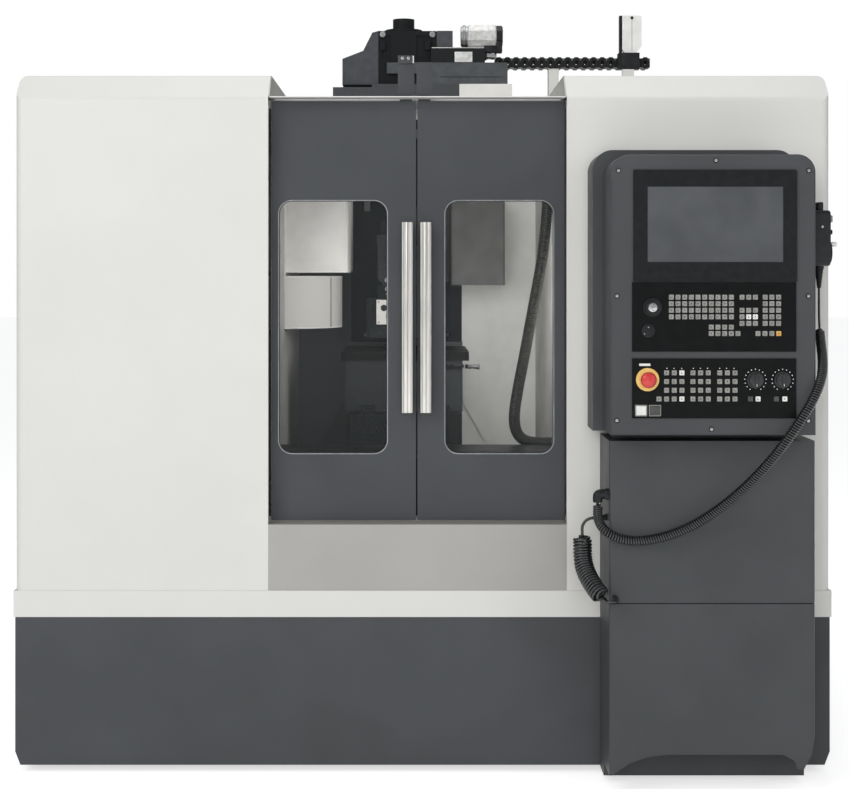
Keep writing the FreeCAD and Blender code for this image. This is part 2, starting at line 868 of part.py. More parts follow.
# The electrical cabinet: a deep tray open to the rear, with a mounting plate and three wiring ducts.
closet = plate("XZ", ("closet_y", "closet_back"), ("closet_left", "closet_right"),
               ("band_top", "closet_top"))
closet.hollow("sheet_wall", ("y", {"y": "max"}))
closet_plate = block(("recess_left + 40", "recess_right - 40"),
                     ("closet_y + sheet_wall", "closet_y + sheet_wall + 12"),
                     ("band_top + 60", "closet_top - 60"))
ducts = [block(("recess_left + 60", "recess_right - 60"),
               ("closet_y + sheet_wall + 12", "closet_y + sheet_wall + 12 + duct_deep"),
               ("band_top + %s" % low, "band_top + %s + duct_wide" % low))
         for low in ("180", "180 + duct_pitch", "180 + 2 * duct_pitch")]
hinges = []
for low in ("hinge_low", "hinge_high"):
    knuckle = fuse(rod("z", ("hinge_x", "hinge_y"), (low, low + " + hinge_long"), "hinge_round"),
                   block(("hinge_x", "closet_left - 1"), ("closet_back", "hinge_y - 3"),
                         (low, low + " + hinge_long")),
                   block(("wall_left + 0.5", "closet_left"), ("closet_back - 40", "closet_back + 1"),
                         (low, low + " + hinge_long")))
    hinges.append(cut(knuckle, rod("z", ("hinge_x", "hinge_y"), (low + " - 1", low + " + hinge_long + 1"),
                                   "hinge_pin + rest_gap")))
piece("electrical_cabinet", fuse(closet, closet_plate, *ducts, *hinges))

# Its door, folded at the edges, with the upper hinge halves, the pins and a recessed latch.
closet_door = plate("XZ", ("closet_door_y", "closet_door_y + closet_door_thick"),
                    ("closet_left", "closet_right"), ("band_top + 1", "closet_top"))
closet_door.pocket("XZ", ("closet_door_y + 2", "closet_door_y + closet_door_thick"),
                   rectangle(("recess_right - 60", "recess_right - 30"),
                             ("closet_latch", "closet_latch + 90")))
door_hinges = []
for low in ("hinge_low", "hinge_high"):
    top = low + " + hinge_long + rest_gap"
    door_hinges += [rod("z", ("hinge_x", "hinge_y"), (top, top + " + hinge_long"), "hinge_round"),
                    rod("z", ("hinge_x", "hinge_y"), (low + " + 2", top + " + 2"), "hinge_pin"),
                    block(("hinge_x", "closet_left + 5"),
                          ("closet_door_y", "hinge_y + 2"), (top, top + " + hinge_long"))]
piece("cabinet_door", fuse(closet_door, *door_hinges))


# Sliding doors: a thick frame round a window, a groove over the ridge, and the top bracket.
def sliding_door(name, x, window, bracket, tip):
    door = plate("XZ", ("door_y", "door_back"), x, ("door_low", "door_top"))
    door.pocket("XZ", ("door_y", "door_back"), rectangle(window, ("window_low", "window_high")))
    corners = [("y", {"x": spot_of(spot), "z": at(level)}) for spot in window
               for level in ("window_low", "window_high")]
    door.round("window_round", *corners)
    wide = ("%s - rebate" % window[0], "%s + rebate" % window[1])
    door.pocket("XZ", ("door_y + window_lip", "door_back"),
                rectangle(wide, ("window_low - rebate", "window_high + rebate")))
    door.pocket("XY", ("door_low", "groove_top"),
                rectangle(x, ("track_y - groove_wide / 2", "track_y + groove_wide / 2")))
    door.pocket("XZ", ("door_y + window_lip", "door_back"),
                rectangle(("%s + door_rim" % x[0], "%s - door_rim" % x[1]),
                          ("door_low + door_rim + 20", "window_low - rebate - door_rim")),
                rectangle(("%s + door_rim" % x[0], "%s - door_rim" % x[1]),
                          ("window_high + rebate + door_rim", "door_top - door_rim")))
    hanger = fuse(block((bracket + " - bracket_wide / 2", bracket + " + bracket_wide / 2"),
                        ("track_y - bracket_thick / 2", "track_y + bracket_thick / 2"),
                        ("door_top", "bracket_top")), *tip)
    piece(name + "_door", group(door, hanger))
    pane = plate("XZ", ("door_y + window_lip", "door_y + window_lip + pane_thick"),
                 ("%s - rebate + pane_play" % window[0], "%s + rebate - pane_play" % window[1]),
                 ("window_low - rebate + pane_play", "window_high + rebate - pane_play"))
    piece(name + "_window", pane)


def spot_of(rule):
    """The number behind a rule, found in a spare cell."""
    places.set("D1", "=" + words_to_cells(rule, PLACES))
    doc.recompute()
    return float(places.get("D1"))


sliding_door("left", ("left_door_x", "left_door_end"), ("left_window_x", "left_window_x + window_wide"),
             "handle_left_x - 4",
             [block(("handle_left_x - 15", "handle_left_x + 10"),
                    ("track_y - bracket_thick", "track_y + bracket_thick / 2"),
                    ("bracket_top - 4", "bracket_top + bracket_tip"))])
sliding_door("right", ("right_door_x", "right_door_end"),
             ("right_window_end - window_wide", "right_window_end"), "handle_right_x - 4", [])

# Door handles: a flat extruded bar on two end posts.
for name, x in (("left_handle", "handle_left_x"), ("right_handle", "handle_right_x")):
    handle = plate("XZ", ("door_y - handle_stand", "door_y - handle_stand + handle_thick"),
                   (x + " - handle_wide / 2", x + " + handle_wide / 2"),
                   ("handle_low", "handle_low + handle_long"))
    handle.round("handle_edge", ("z", {"x": "min", "y": "min"}), ("z", {"x": "max", "y": "min"}))
    handle.pad("XZ", ("door_y - handle_stand + handle_thick - 1", "door_y"),
               *[rectangle((x + " - handle_wide / 3", x + " + handle_wide / 3"), (low, low + " + handle_post"))
                 for low in ("handle_low + handle_post_inset",
                             "handle_low + handle_long - handle_post_inset - handle_post")])
    piece(name, handle)

# The saddle runs on the box ways, its skirts beside them.
saddle = plate("XY", ("bed_height + saddle_skirt", "table_under"),
               ("saddle_x - saddle_wide / 2", "saddle_x + saddle_wide / 2"), ("saddle_y", "saddle_back"))
saddle.pocket("XY", ("bed_height + saddle_skirt", "way_top + rest_gap"),
              *[rectangle(("mill_x %s way_spread / 2 - way_wide / 2 - rest_gap" % side,
                           "mill_x %s way_spread / 2 + way_wide / 2 + rest_gap" % side),
                          ("saddle_y", "saddle_back")) for side in "-+"])
for x in (("saddle_x - saddle_wide / 2", "saddle_x - saddle_wide / 2 + saddle_niche"),
          ("saddle_x + saddle_wide / 2 - saddle_niche", "saddle_x + saddle_wide / 2")):
    saddle.pocket("YZ", x, rectangle(("saddle_y + saddle_rib", "saddle_back - saddle_rib"),
                                     ("way_top + saddle_web", "table_under - saddle_web")))
piece("saddle", saddle)

# The table: three T-slots across the full width.
table = plate("XY", ("table_under", "table_height"), ("table_x - table_wide / 2", "table_x + table_wide / 2"),
              ("table_y", "table_back"))
for shift in ("- slot_pitch", "+ 0", "+ slot_pitch"):
    middle = "table_y + table_deep / 2 %s" % shift
    table.pocket("YZ", ("table_x - table_wide / 2", "table_x + table_wide / 2"),
                 [(middle + " - slot_foot / 2", "slot_low"), (middle + " + slot_foot / 2", "slot_low"),
                  (middle + " + slot_foot / 2", "slot_mid"), (middle + " + slot_neck / 2", "slot_mid"),
                  (middle + " + slot_neck / 2", "table_height"), (middle + " - slot_neck / 2", "table_height"),
                  (middle + " - slot_neck / 2", "slot_mid"), (middle + " - slot_foot / 2", "slot_mid")])
piece("table", table)

# The column rides along the rear ways and carries the rails for the head.
column = plate("XY", ("rear_bed_height + 2", "column_top"), ("column_left", "column_right"),
               ("column_y", "column_back"))
column.pocket("XY", ("rear_bed_height + 2", "rear_way_top + rest_gap"),
              *[rectangle(("column_left", "column_right"),
                          (middle + " - way_wide / 2 - rest_gap", middle + " + way_wide / 2 + rest_gap"))
                for middle in ("column_y + way_inset", "column_back - way_inset")])
column.pocket("XZ", ("column_y", "column_y + column_recess_deep"),
              rectangle(("mill_x - column_recess_wide / 2", "mill_x + column_recess_wide / 2"),
                        ("pan_height", "column_top - 60")))
column.bevel("column_bevel", ("z", {"x": "min", "y": "max"}), ("z", {"x": "max", "y": "max"}))
piece("column", column)

# Profiled rails, screwed to the column.
rails = []
for side in "-+":
    middle = "mill_x %s rail_spread / 2" % side
    rail = plate("XY", ("rail_low", "rail_top"), (middle + " - rail_wide / 2", middle + " + rail_wide / 2"),
                 ("rail_y", "column_y"))
    rail.pocket("XY", ("rail_low", "rail_top"),
                *[[(edge, "rail_y + rail_high * 0.35"), (edge, "rail_y + rail_high * 0.75"),
                   (inner, "rail_y + rail_high * 0.65"), (inner, "rail_y + rail_high * 0.45")]
                  for edge, inner in ((middle + " - rail_wide / 2", middle + " - rail_wide / 2 + rail_waist"),
                                      (middle + " + rail_wide / 2", middle + " + rail_wide / 2 - rail_waist"))])
    rails.append(rail)
piece("z_rails", group(*rails))

# Sheets that travel with the column and close the back wall beside it, and the hood over its top.
sheets = []
for x in (("column_left - cover_reach", "column_left + cover_lap"),
          ("column_right - cover_lap", "column_right + cover_reach")):
    sheets.append(block(x, ("column_y - sheet_wall", "column_y"), ("pan_height + 6", "cover_slot_top - 10")))
hood = plate("XY", ("column_top", "hood_top"), ("hood_left", "hood_right"),
             ("column_y + 2", "column_back - 40"))
hood.pad("XY", ("column_top + 50", "column_top + 85"),
         rectangle(("hood_left - hood_wing", "hood_left + 1"), ("column_y + 2", "column_back - 120")))
hood.hollow("sheet_wall", ("z", {"z": "min"}))
piece("x_covers", group(*sheets, hood))

# The head: a slide on four carriages, and the spindle block that reaches forward from it.
head = plate("XY", ("head_low", "slide_top"), ("mill_x - slide_wide / 2", "mill_x + slide_wide / 2"),
             ("slide_y", "slide_back"))
head.pad("XY", ("head_low", "head_block_top"),
         rectangle(("head_left", "head_right"), ("head_y", "slide_y + 5")))
head.pad("YZ", ("mill_x - motor_wide / 2", "mill_x + motor_wide / 2"),
         [("head_y + 30", "head_block_top - 5"), ("slide_y + 5", "head_block_top - 5"),
          ("slide_y + 5", "slide_top - 20"), ("slide_y - 90", "motor_low"), ("head_y + 30", "motor_low")])
head.bevel("head_bevel", ("z", {"x": at("mill_x") - at("head_wide") / 2, "y": at("head_y")}),
           ("z", {"x": at("mill_x") + at("head_wide") / 2, "y": at("head_y")}))
head.pocket("XY", ("head_low", "spindle_shoulder"),
            ["circle", "mill_x", "spindle_y", "spindle_body + rest_gap"])
head.pocket("XY", ("spindle_shoulder - 1", "motor_low"),
            ["circle", "mill_x", "spindle_y", "spindle_neck + rest_gap"])
for side in "-+":
    middle = "mill_x %s rail_spread / 2" % side
    for low in ("head_low + 20", "slide_top - 20 - carriage_long"):
        head.pad("XY", (low, low + " + carriage_long"),
                 [(middle + " - carriage_wide / 2", "slide_back - 1"),
                  (middle + " + carriage_wide / 2", "slide_back - 1"),
                  (middle + " + carriage_wide / 2", "column_y - carriage_clear"),
                  (middle + " + rail_wide / 2 + rest_gap", "column_y - carriage_clear"),
                  (middle + " + rail_wide / 2 + rest_gap", "rail_y - rest_gap"),
                  (middle + " - rail_wide / 2 - rest_gap", "rail_y - rest_gap"),
                  (middle + " - rail_wide / 2 - rest_gap", "column_y - carriage_clear"),
                  (middle + " - carriage_wide / 2", "column_y - carriage_clear")])
piece("head_casting", head)

# The spindle motor stands over the spindle, its lower left corner cut back.
motor = Grown()
motor.pad("XZ", ("head_y + 20", "slide_y - 95"),
          [("mill_x - motor_wide / 2 + motor_cut", "motor_low"), ("mill_x + motor_wide / 2", "motor_low"),
           ("mill_x + motor_wide / 2", "motor_high"), ("mill_x - motor_wide / 2", "motor_high"),
           ("mill_x - motor_wide / 2", "motor_low + motor_cut")])
motor.pad("XY", ("motor_high", "slide_top"), ["circle", "mill_x", "spindle_y + 40", "motor_round"])
motor.pad("XY", ("motor_high - 1", "motor_high + 32"),
          rectangle(("mill_x - motor_wide / 2 - 4", "mill_x - motor_wide / 2 + 28"),
                    ("head_y + 30", "head_y + 60")))
piece("spindle_motor", motor)

# The rotating spindle, with its taper socket and two drive keys.
spindle = fuse(rod("z", ("mill_x", "spindle_y"), ("nose_low", "spindle_shoulder - rest_gap"), "spindle_body"),
               rod("z", ("mill_x", "spindle_y"), ("spindle_shoulder - 2", "motor_low - rest_gap"),
                   "spindle_neck"))
socket = taper("z", ("mill_x", "spindle_y"), ("nose_low - 0.01", "nose_low + taper_long"),
               "taper_mouth", "taper_end")
drawbar = rod("z", ("mill_x", "spindle_y"), ("nose_low + taper_long - 1", "nose_low + taper_long + 30"),
              "taper_end - 2")
drive_keys = [block(("mill_x %s" % left, "mill_x %s" % right), ("spindle_y - 8", "spindle_y + 8"),
                    ("nose_low - drive_key", "nose_low"))
              for left, right in (("- taper_mouth - 14", "- taper_mouth - 2"),
                                  ("+ taper_mouth + 2", "+ taper_mouth + 14"))]
piece("spindle", fuse(cut(spindle, socket, drawbar), *drive_keys))

# The coolant block on the head's left front, with its nozzle.
coolant = fuse(block(("coolant_left", "coolant_left + coolant_wide"), ("head_y - 26", "head_y"),
                     ("coolant_low", "coolant_low + coolant_high")),
               prism("z", ("coolant_left + coolant_wide / 2", "head_y - 13"),
                     ("coolant_low - 30", "coolant_low"), "8", 6),
               prism("z", ("coolant_left + coolant_wide / 2", "head_y - 13"),
                     ("coolant_low - 52", "coolant_low - 30"), "5", 12))
piece("coolant_block", cut(coolant, prism("z", ("coolant_left + coolant_wide / 2", "head_y - 13"),
                                          ("coolant_low - 53", "coolant_low - 20"), "2.5", 8)))

# The cover on the head's right side.
head_cover = plate("XY", ("side_cover_low", "side_cover_low + side_cover_high"),
                   ("side_cover_left", "side_cover_left + side_cover_wide"),
                   ("side_cover_y", "slide_y - 2"))
head_cover.round("8", ("z", {"x": "min", "y": "min"}), ("z", {"x": "max", "y": "min"}))
head_cover.pad("XY", ("side_cover_low + 10", "side_cover_low + side_cover_high - 10"),
               rectangle(("side_cover_left - 30", "side_cover_left + 10"), ("slide_y - 20", "slide_y")))
piece("head_cover", head_cover)

# The tool changer: its housing through the left wall, the drum's cover and the drum with its pockets.
changer = plate("XY", ("changer_low", "changer_high"), ("changer_left", "changer_right"),
                ("changer_y", "changer_back"))
changer.round("6", ("z", {"x": "max", "y": "min"}), ("y", {"x": "max", "z": "min"}))
changer.pad("YZ", ("wall_left", "wall_left + sheet_wall"),
            rectangle(("changer_y - changer_rim", "changer_back + changer_rim"),
                      ("drum_high + 1", "changer_high + 20")))
changer.pad("XY", ("drum_high", "changer_low + 5"), ["circle", "drum_x", "spindle_y", "hub_round"])
changer.pocket("XY", ("drum_high", "changer_low + 20"),
               ["circle", "drum_x", "spindle_y", "drum_shaft + rest_gap"])
piece("changer_cover", changer)

# The cover is a rolled wall, open below, under a flat lid that the drum's shaft comes through.
drum_wall = Grown()
drum_wall.pad("XY", ("drum_low", "drum_high - sheet_wall"),
              ["circle", "drum_x", "spindle_y", "drum_round"],
              ["circle", "drum_x", "spindle_y", "drum_round - sheet_wall"])
drum_lid = Grown()
drum_lid.pad("XY", ("drum_high - sheet_wall", "drum_high"),
             ["circle", "drum_x", "spindle_y", "drum_round"],
             ["circle", "drum_x", "spindle_y", "drum_shaft + 5"])
piece("drum_cover", group(drum_wall, drum_lid))

drum = Grown()
drum.pad("XY", ("drum_disc_low", "drum_disc_low + drum_disc_thick"),
         ["circle", "drum_x", "spindle_y", "drum_disc_round"])
drum.pad("XY", ("drum_disc_low - 40", "changer_low + 20 - rest_gap"),
         ["circle", "drum_x", "spindle_y", "drum_shaft"])
notches = []
for index in range(int(at("pocket_count"))):
    turned = "%d * 360 deg / pocket_count" % index
    notches.append([("drum_x + (%s) * cos(%s) - (%s) * sin(%s)" % (out, turned, across, turned),
                     "spindle_y + (%s) * sin(%s) + (%s) * cos(%s)" % (out, turned, across, turned))
                    for out, across in (("drum_disc_round + tool_round", "tool_round"),
                                        ("drum_disc_round - tool_round / 2", "tool_round"),
                                        ("drum_disc_round - tool_round", "tool_round / 2"),
                                        ("drum_disc_round - tool_round", "-tool_round / 2"),
                                        ("drum_disc_round - tool_round / 2", "-tool_round"),
                                        ("drum_disc_round + tool_round", "-tool_round"))])
drum.pocket("XY", ("drum_disc_low", "drum_disc_low + drum_disc_thick"), *notches)
piece("tool_drum", drum)

# The drive on top of the column: its casting with a round collar and cap, and the dark hood beside it.
crown = plate("XZ", ("crown_y", "crown_y + crown_deep"), ("crown_left", "crown_right"),
              ("hood_top", "crown_top"))
crown.round("6", ("y", {"x": "max", "z": "max"}))
crown.pocket("XZ", ("crown_y", "crown_y + 6"),
             rectangle(("crown_left + 12", "cap_x - 44"), ("hood_top + 90", "crown_top - 16")),
             rectangle(("cap_x + 44", "crown_right - 12"), ("hood_top + 90", "crown_top - 16")))
crown.pad("XZ", ("crown_y - 8", "crown_y + 7"),
          *[rectangle((middle + " - 9", middle + " + 9"), ("hood_top + 118", "hood_top + 150"))
            for middle in ("cap_x - 72", "cap_x + 82")])
crown.pad("XY", ("crown_top - 2", "crown_top + 10"),
          ["circle", "cap_x", "crown_y + collar_round + 6", "collar_round"])
crown.pad("XY", ("crown_top + 8", "cap_top"), ["circle", "cap_x", "crown_y + collar_round + 6", "cap_round"])
crown.pad("XZ", ("crown_y - 2", "crown_y + crown_deep - 20"),
          [("crown_left - 122", "hood_top"), ("crown_left - 20", "hood_top"), ("crown_left + 2", "hood_top"),
           ("crown_left + 2", "crown_top"), ("crown_left - 20", "crown_top - 6"),
           ("crown_left - 51", "crown_top - 68"), ("crown_left - 122", "hood_top + 88")])
crown.pad("XZ", ("crown_y - 4", "crown_y + 60"),
          rectangle(("crown_right - 1", "crown_right + 54"), ("crown_top - 61", "crown_top")))
piece("top_casting", crown)

# The beam and the flat case on it.
beam = plate("XZ", ("crown_y - beam_step", "beam_back"), ("crown_left + 30", "beam_right"),
             ("beam_top - 37", "beam_top"))
beam.pad("XZ", ("crown_y - beam_step", "beam_back"),
         rectangle(("case_left", "beam_right"), ("hood_top", "beam_top")))
beam.pocket("XZ", ("crown_y - beam_step", "crown_y - beam_step + 4"),
            rectangle(("case_left + 30", "beam_right - 20"), ("hood_top + 20", "hood_top + 26")))
beam.pad("XZ", ("crown_y - beam_step + 2", "beam_back"),
         rectangle(("case_left", "case_right"), ("beam_top - 1", "case_top")))
beam.pad("XZ", ("beam_back - 1", "beam_back + 40"),
         rectangle(("crown_right", "case_right"), ("hood_top", "case_top")))
piece("drive_beam", beam)

# The servo motor lies along X: end bell, round body, dark cap and connector, on a foot.
servo_at = ("servo_y", "servo_z")
servo = fuse(rod("x", servo_at, ("servo_body_left", "servo_body_right"), "servo_round"),
             block(("servo_left", "servo_body_left + 2"),
                   ("servo_y - servo_round", "servo_y + servo_round"),
                   ("servo_z - servo_round", "servo_z + servo_round")),
             block(("servo_body_right", "servo_right"),
                   ("servo_y - servo_round + 5", "servo_y + servo_round - 5"),
                   ("servo_z - servo_round + 5", "servo_z + servo_round - 5")),
             block(("servo_left + 20", "case_right - 2"), ("beam_back + 2", "beam_back + 38"),
                   ("case_top", "servo_z - servo_round + 8")),
             block(("case_right", "case_right + 41"), ("crown_y - 20", "crown_y + 14"),
                   ("beam_top + 8", "servo_z - 30")))
piece("x_servo", servo)

# The cable chain: rounded links round a hollow spine, with the fixed bracket at its outer end.
chain = plate("XZ", ("chain_y", "chain_y + chain_deep"), ("chain_left + 10", "chain_right - 10"),
              ("chain_low + 4", "chain_high - 4"))
links = int((at("chain_right") - at("chain_left")) / at("chain_pitch"))
for index in range(links):
    start = "chain_left + %d * chain_pitch" % index
    end = start + " + chain_pitch - link_gap"
    chain.pad("XZ", ("chain_y - 2", "chain_y + chain_deep + 2"),
              [(start, "chain_low + 8"), (start + " + 8", "chain_low"), (end + " - 8", "chain_low"),
               (end, "chain_low + 8"), (end, "chain_high - 8"), (end + " - 8", "chain_high"),
               (start + " + 8", "chain_high"), (start, "chain_high - 8")])
chain.pocket("XZ", ("chain_y - 2", "chain_y + chain_deep + 2"),
             *[rectangle(("chain_left + %d * chain_pitch + 8" % index,
                          "chain_left + (%d + 1) * chain_pitch - link_gap - 8" % index),
                         ("chain_low + 12", "chain_high - 12")) for index in range(links)])
anchor = fuse(block(("lamp_left - 14", "lamp_right - 8"), ("chain_y - 40", "chain_y - 2"),
                    ("chain_low - 7", "lamp_low - 1")),
              block(("lamp_left - 9", "lamp_left"), ("chain_y - 34", "chain_y - 6"),
                    ("lamp_low - 2", "lamp_high")))
piece("energy_chain", group(chain, anchor))

# The opal signal lamp, narrowed below.
lamp = Grown()
lamp.pad("XZ", ("chain_y - 36", "chain_y - 4"),
         [("lamp_left + 10", "lamp_low - 1"), ("lamp_right - 18", "lamp_low - 1"),
          ("lamp_right", "lamp_low + 24"), ("lamp_right", "lamp_high"), ("lamp_left", "lamp_high"), ("lamp_left", "lamp_low + 12")])
lamp.round("5", ("y", {"x": "min", "z": "max"}), ("y", {"x": "max", "z": "max"}))
piece("signal_lamp", lamp)

# Posts from the right cover's roof to the chain's bracket, and from the back wall's top to its inner end.
posts = [block((middle + " - 20", middle + " + 20"), ("chain_y - 40", "chain_y - 20"),
               ("roof_height", "chain_low - 7")) for middle in ("lamp_left + 20",)]
posts.append(block(("hood_right + head_travel_right + 15", "hood_right + head_travel_right + 50"),
                   ("chain_y + 4", "chain_y + chain_deep - 4"), ("roof_height", "chain_low")))
piece("roof_posts", group(*posts))

# The operator pendant: the rear housing with its neck, and the deep front housing.
backing = plate("XZ", ("backing_y", "front_y"), ("backing_left", "backing_right"),
                ("backing_low", "backing_high"))
backing.round("backing_round", ("y", {"x": "min", "z": "max"}), ("y", {"x": "max", "z": "max"}))
backing.pad("XZ", ("backing_y + 10", "front_y"),
            rectangle(("neck_left", "neck_right"), ("console_top", "backing_low")))
piece("pendant_rear", backing)

pendant = plate("XZ", ("pendant_y", "backing_y"), ("pendant_left", "pendant_right"),
                ("pendant_low", "pendant_high"))
pendant.round("pendant_round", ("y", {"x": "min", "z": "max"}), ("y", {"x": "max", "z": "max"}))
pendant.bevel("pendant_edge", ("z", {"x": "min", "y": "min"}), ("z", {"x": "max", "y": "min"}),
              ("x", {"y": "min", "z": "max"}), ("x", {"y": "min", "z": "min"}))
sockets = [["circle", "stop_x", "stop_z", "stop_stem + button_play"]]
sockets += [["circle", x, z, "dial_shaft + rest_gap"]
            for x, z in (("feed_dial_x", "dial_z"), ("speed_dial_x", "dial_z"), ("lock_x", "lock_z"))]
sockets += [rectangle((x + " - button_wide / 2 - button_play", x + " + button_wide / 2 + button_play"),
                      ("button_z - button_high / 2 - button_play", "button_z + button_high / 2 + button_play"))
            for x in ("start_x", "hold_x")]
pendant.pocket("XZ", ("pendant_y", "pendant_y + socket_deep"), *sockets)
piece("pendant_front", pendant)

# The display: a bezel with a pocket, and the glass in it.
bezel = plate("XZ", ("pendant_y - bezel_thick", "pendant_y"), ("screen_left", "screen_right"),
              ("screen_low", "screen_high"))
bezel.round("4", *[("y", {"x": x, "z": z}) for x in ("min", "max") for z in ("min", "max")])
bezel.pocket("XZ", ("pendant_y - bezel_thick", "pendant_y - bezel_thick + bezel_pocket"),
             rectangle(("glass_left", "glass_right"), ("glass_low", "glass_high")))
piece("display_bezel", bezel)
glass_y = "pendant_y - bezel_thick + bezel_pocket"
piece("display_glass", plate("XZ", (glass_y + " - glass_thick", glass_y),
                             ("glass_left + glass_play", "glass_right - glass_play"),
                             ("glass_low + glass_play", "glass_high - glass_play")))

# The two key panels, each cut for what passes through it.
keyboard = plate("XZ", ("panel_y", "pendant_y"), ("panel_left", "panel_right"),
                 ("keyboard_low", "keyboard_high"))
keyboard.pad("XZ", ("panel_y - 3", "panel_y"), ["circle", "port_x", "port_z", "port_round"])
keyboard.pocket("XZ", ("panel_y", "pendant_y"), ["circle", "lock_x", "lock_z", "dial_shaft + rest_gap"])
piece("keyboard_panel", keyboard)
operate = plate("XZ", ("panel_y", "pendant_y"), ("panel_left", "panel_right"),
                ("operate_low", "operate_high"))
operate.pocket("XZ", ("panel_y", "pendant_y"), *[hole for hole in sockets if hole[1] != "lock_x"])
piece("machine_panel", operate)

# Short-stroke keys in blocks: first key, columns and rows with their pitches.
KEY_BLOCKS = [
    ("panel_left + 98", "keyboard_high - 37", 10, 4, "key_pitch", "key_row"),
    ("panel_left + 275", "keyboard_high - 37", 3, 1, "key_pitch", "key_row"),
    ("panel_left + 275", "keyboard_high - 37 - 2 * key_row", 3, 3, "key_pitch", "key_row"),
    ("panel_left + 333", "keyboard_high - 37", 3, 5, "key_pitch", "key_row"),
    ("panel_left + 198", "keyboard_high - 112", 4, 1, "key_pitch", "key_row"),
    ("panel_left + 198", "keyboard_high - 128", 5, 1, "key_pitch", "key_row"),
    ("panel_left + 315", "keyboard_high - 128", 4, 1, "key_pitch + 0.6", "key_row"),
    ("panel_left + 86", "operate_high - 36", 3, 4, "wide_pitch", "tall_row"),
    ("panel_left + 67", "operate_high - 36 - 3 * tall_row", 1, 1, "wide_pitch", "tall_row"),
    ("panel_left + 152", "operate_high - 36", 3, 4, "wide_pitch", "tall_row"),
    ("panel_left + 219", "operate_high - 36", 3, 4, "wide_pitch", "tall_row"),
    ("panel_left + 296", "operate_high - 36 - 3 * tall_row", 2, 1, "wide_pitch", "tall_row"),
    ("panel_left + 361", "operate_high - 36 - 3 * tall_row", 2, 1, "wide_pitch + 2", "tall_row"),
]
keys = []
for x, z, columns, rows, pitch, row_pitch in KEY_BLOCKS:
    for column_index in range(columns):
        for row_index in range(rows):
            left = "%s + %d * (%s)" % (x, column_index, pitch)
            top = "%s - %d * %s" % (z, row_index, row_pitch)
            keys.append(block((left + " - key_size / 2", left + " + key_size / 2"),
                              ("panel_y - key_thick", "panel_y"),
                              (top + " - key_size / 2", top + " + key_size / 2")))
piece("panel_keys", group(*keys))

# Controls that move: the mushroom stop, two square buttons, the key switch and two dials.
stop_at = ("stop_x", "stop_z")
stop = fuse(rod("y", stop_at, ("panel_y - stop_stand", "panel_y - stop_stand + stop_cap"), "stop_round"),
            prism("y", stop_at, ("panel_y - stop_stand + 8", "pendant_y + socket_deep - stop_travel - 2"),
                  "stop_stem", 12))
piece("emergency_stop", stop)
for name, x in (("start_button", "start_x"), ("hold_button", "hold_x")):
    button = plate("XZ", ("panel_y - button_proud", "pendant_y + socket_deep - button_travel - 1"),
                   (x + " - button_wide / 2", x + " + button_wide / 2"),
                   ("button_z - button_high / 2", "button_z + button_high / 2"))
    button.bevel("1", *[("x", {"y": "min", "z": z}) for z in ("min", "max")])
    piece(name, button)
lock_at = ("lock_x", "lock_z")
piece("key_switch", fuse(rod("y", lock_at, ("panel_y - rest_gap - lock_high", "panel_y - rest_gap"),
                             "lock_round"),
                         prism("y", lock_at, ("panel_y - 2", "pendant_y + socket_deep - 1"), "dial_shaft", 12),
                         block(("lock_x - 1.5", "lock_x + 1.5"),
                               ("panel_y - lock_high - key_bow_long", "panel_y - lock_high + 2"),
                               ("lock_z - 9", "lock_z + 9"))))
for name, x in (("feed_knob", "feed_dial_x"), ("speed_knob", "speed_dial_x")):
    knob_at = (x, "dial_z")
    knob = fuse(prism("y", knob_at, ("panel_y - dial_high", "panel_y - rest_gap - 3"), "dial_round - 3", 20),
                prism("y", knob_at, ("panel_y - rest_gap - 4", "panel_y - rest_gap"), "dial_round", 32),
                prism("y", knob_at, ("panel_y - 2", "pendant_y + socket_deep - 1"), "dial_shaft", 12),
                block((x + " - 2.5", x + " + 2.5"), ("panel_y - dial_high - 3", "panel_y - 5"),
                      ("dial_z - dial_round + 3", "dial_z + dial_round - 3")))
    piece(name, knob)

# The operator cabinet: an upper and a lower housing, the lower one with an arched toe recess.
upper = plate("XY", ("console_seam + console_joint", "console_top"), ("console_left", "console_right"),
              ("console_y", "console_back"))
upper.round("console_round", ("z", {"x": "min", "y": "min"}), ("z", {"x": "max", "y": "min"}))
upper.pad("XY", ("console_seam", "console_seam + console_joint + 1"),
          rectangle(("console_left + 8", "console_right - 8"), ("console_y + 8", "console_back - 8")))
piece("cabinet_upper", upper)
lower = plate("XY", ("ground_gap", "console_seam"), ("console_left", "console_right"),
              ("console_y", "console_back"))
lower.round("console_round", ("z", {"x": "min", "y": "min"}), ("z", {"x": "max", "y": "min"}))
lower.pocket("XZ", ("console_y", "console_y + kick_deep"),
             [("console_left - 1", "ground_gap - 1"), ("console_right + 1", "ground_gap - 1"),
              ("console_right + 1", "kick_top + kick_curve"), ("console_right - 9", "kick_top"),
              ("console_right - 29", "kick_low + 16"), ("console_right - 42", "kick_low + 16"),
              ("console_right - 50", "kick_top - 18"), ("console_right - kick_right", "kick_top"),
              ("console_left + kick_left", "kick_top"),
              ("console_left + kick_left * 0.67", "kick_top - 7"),
              ("console_left + kick_left * 0.37", "kick_top - 22"), ("console_left + 5", "kick_low"),
              ("console_left - 1", "kick_low")])
piece("cabinet_lower", lower)

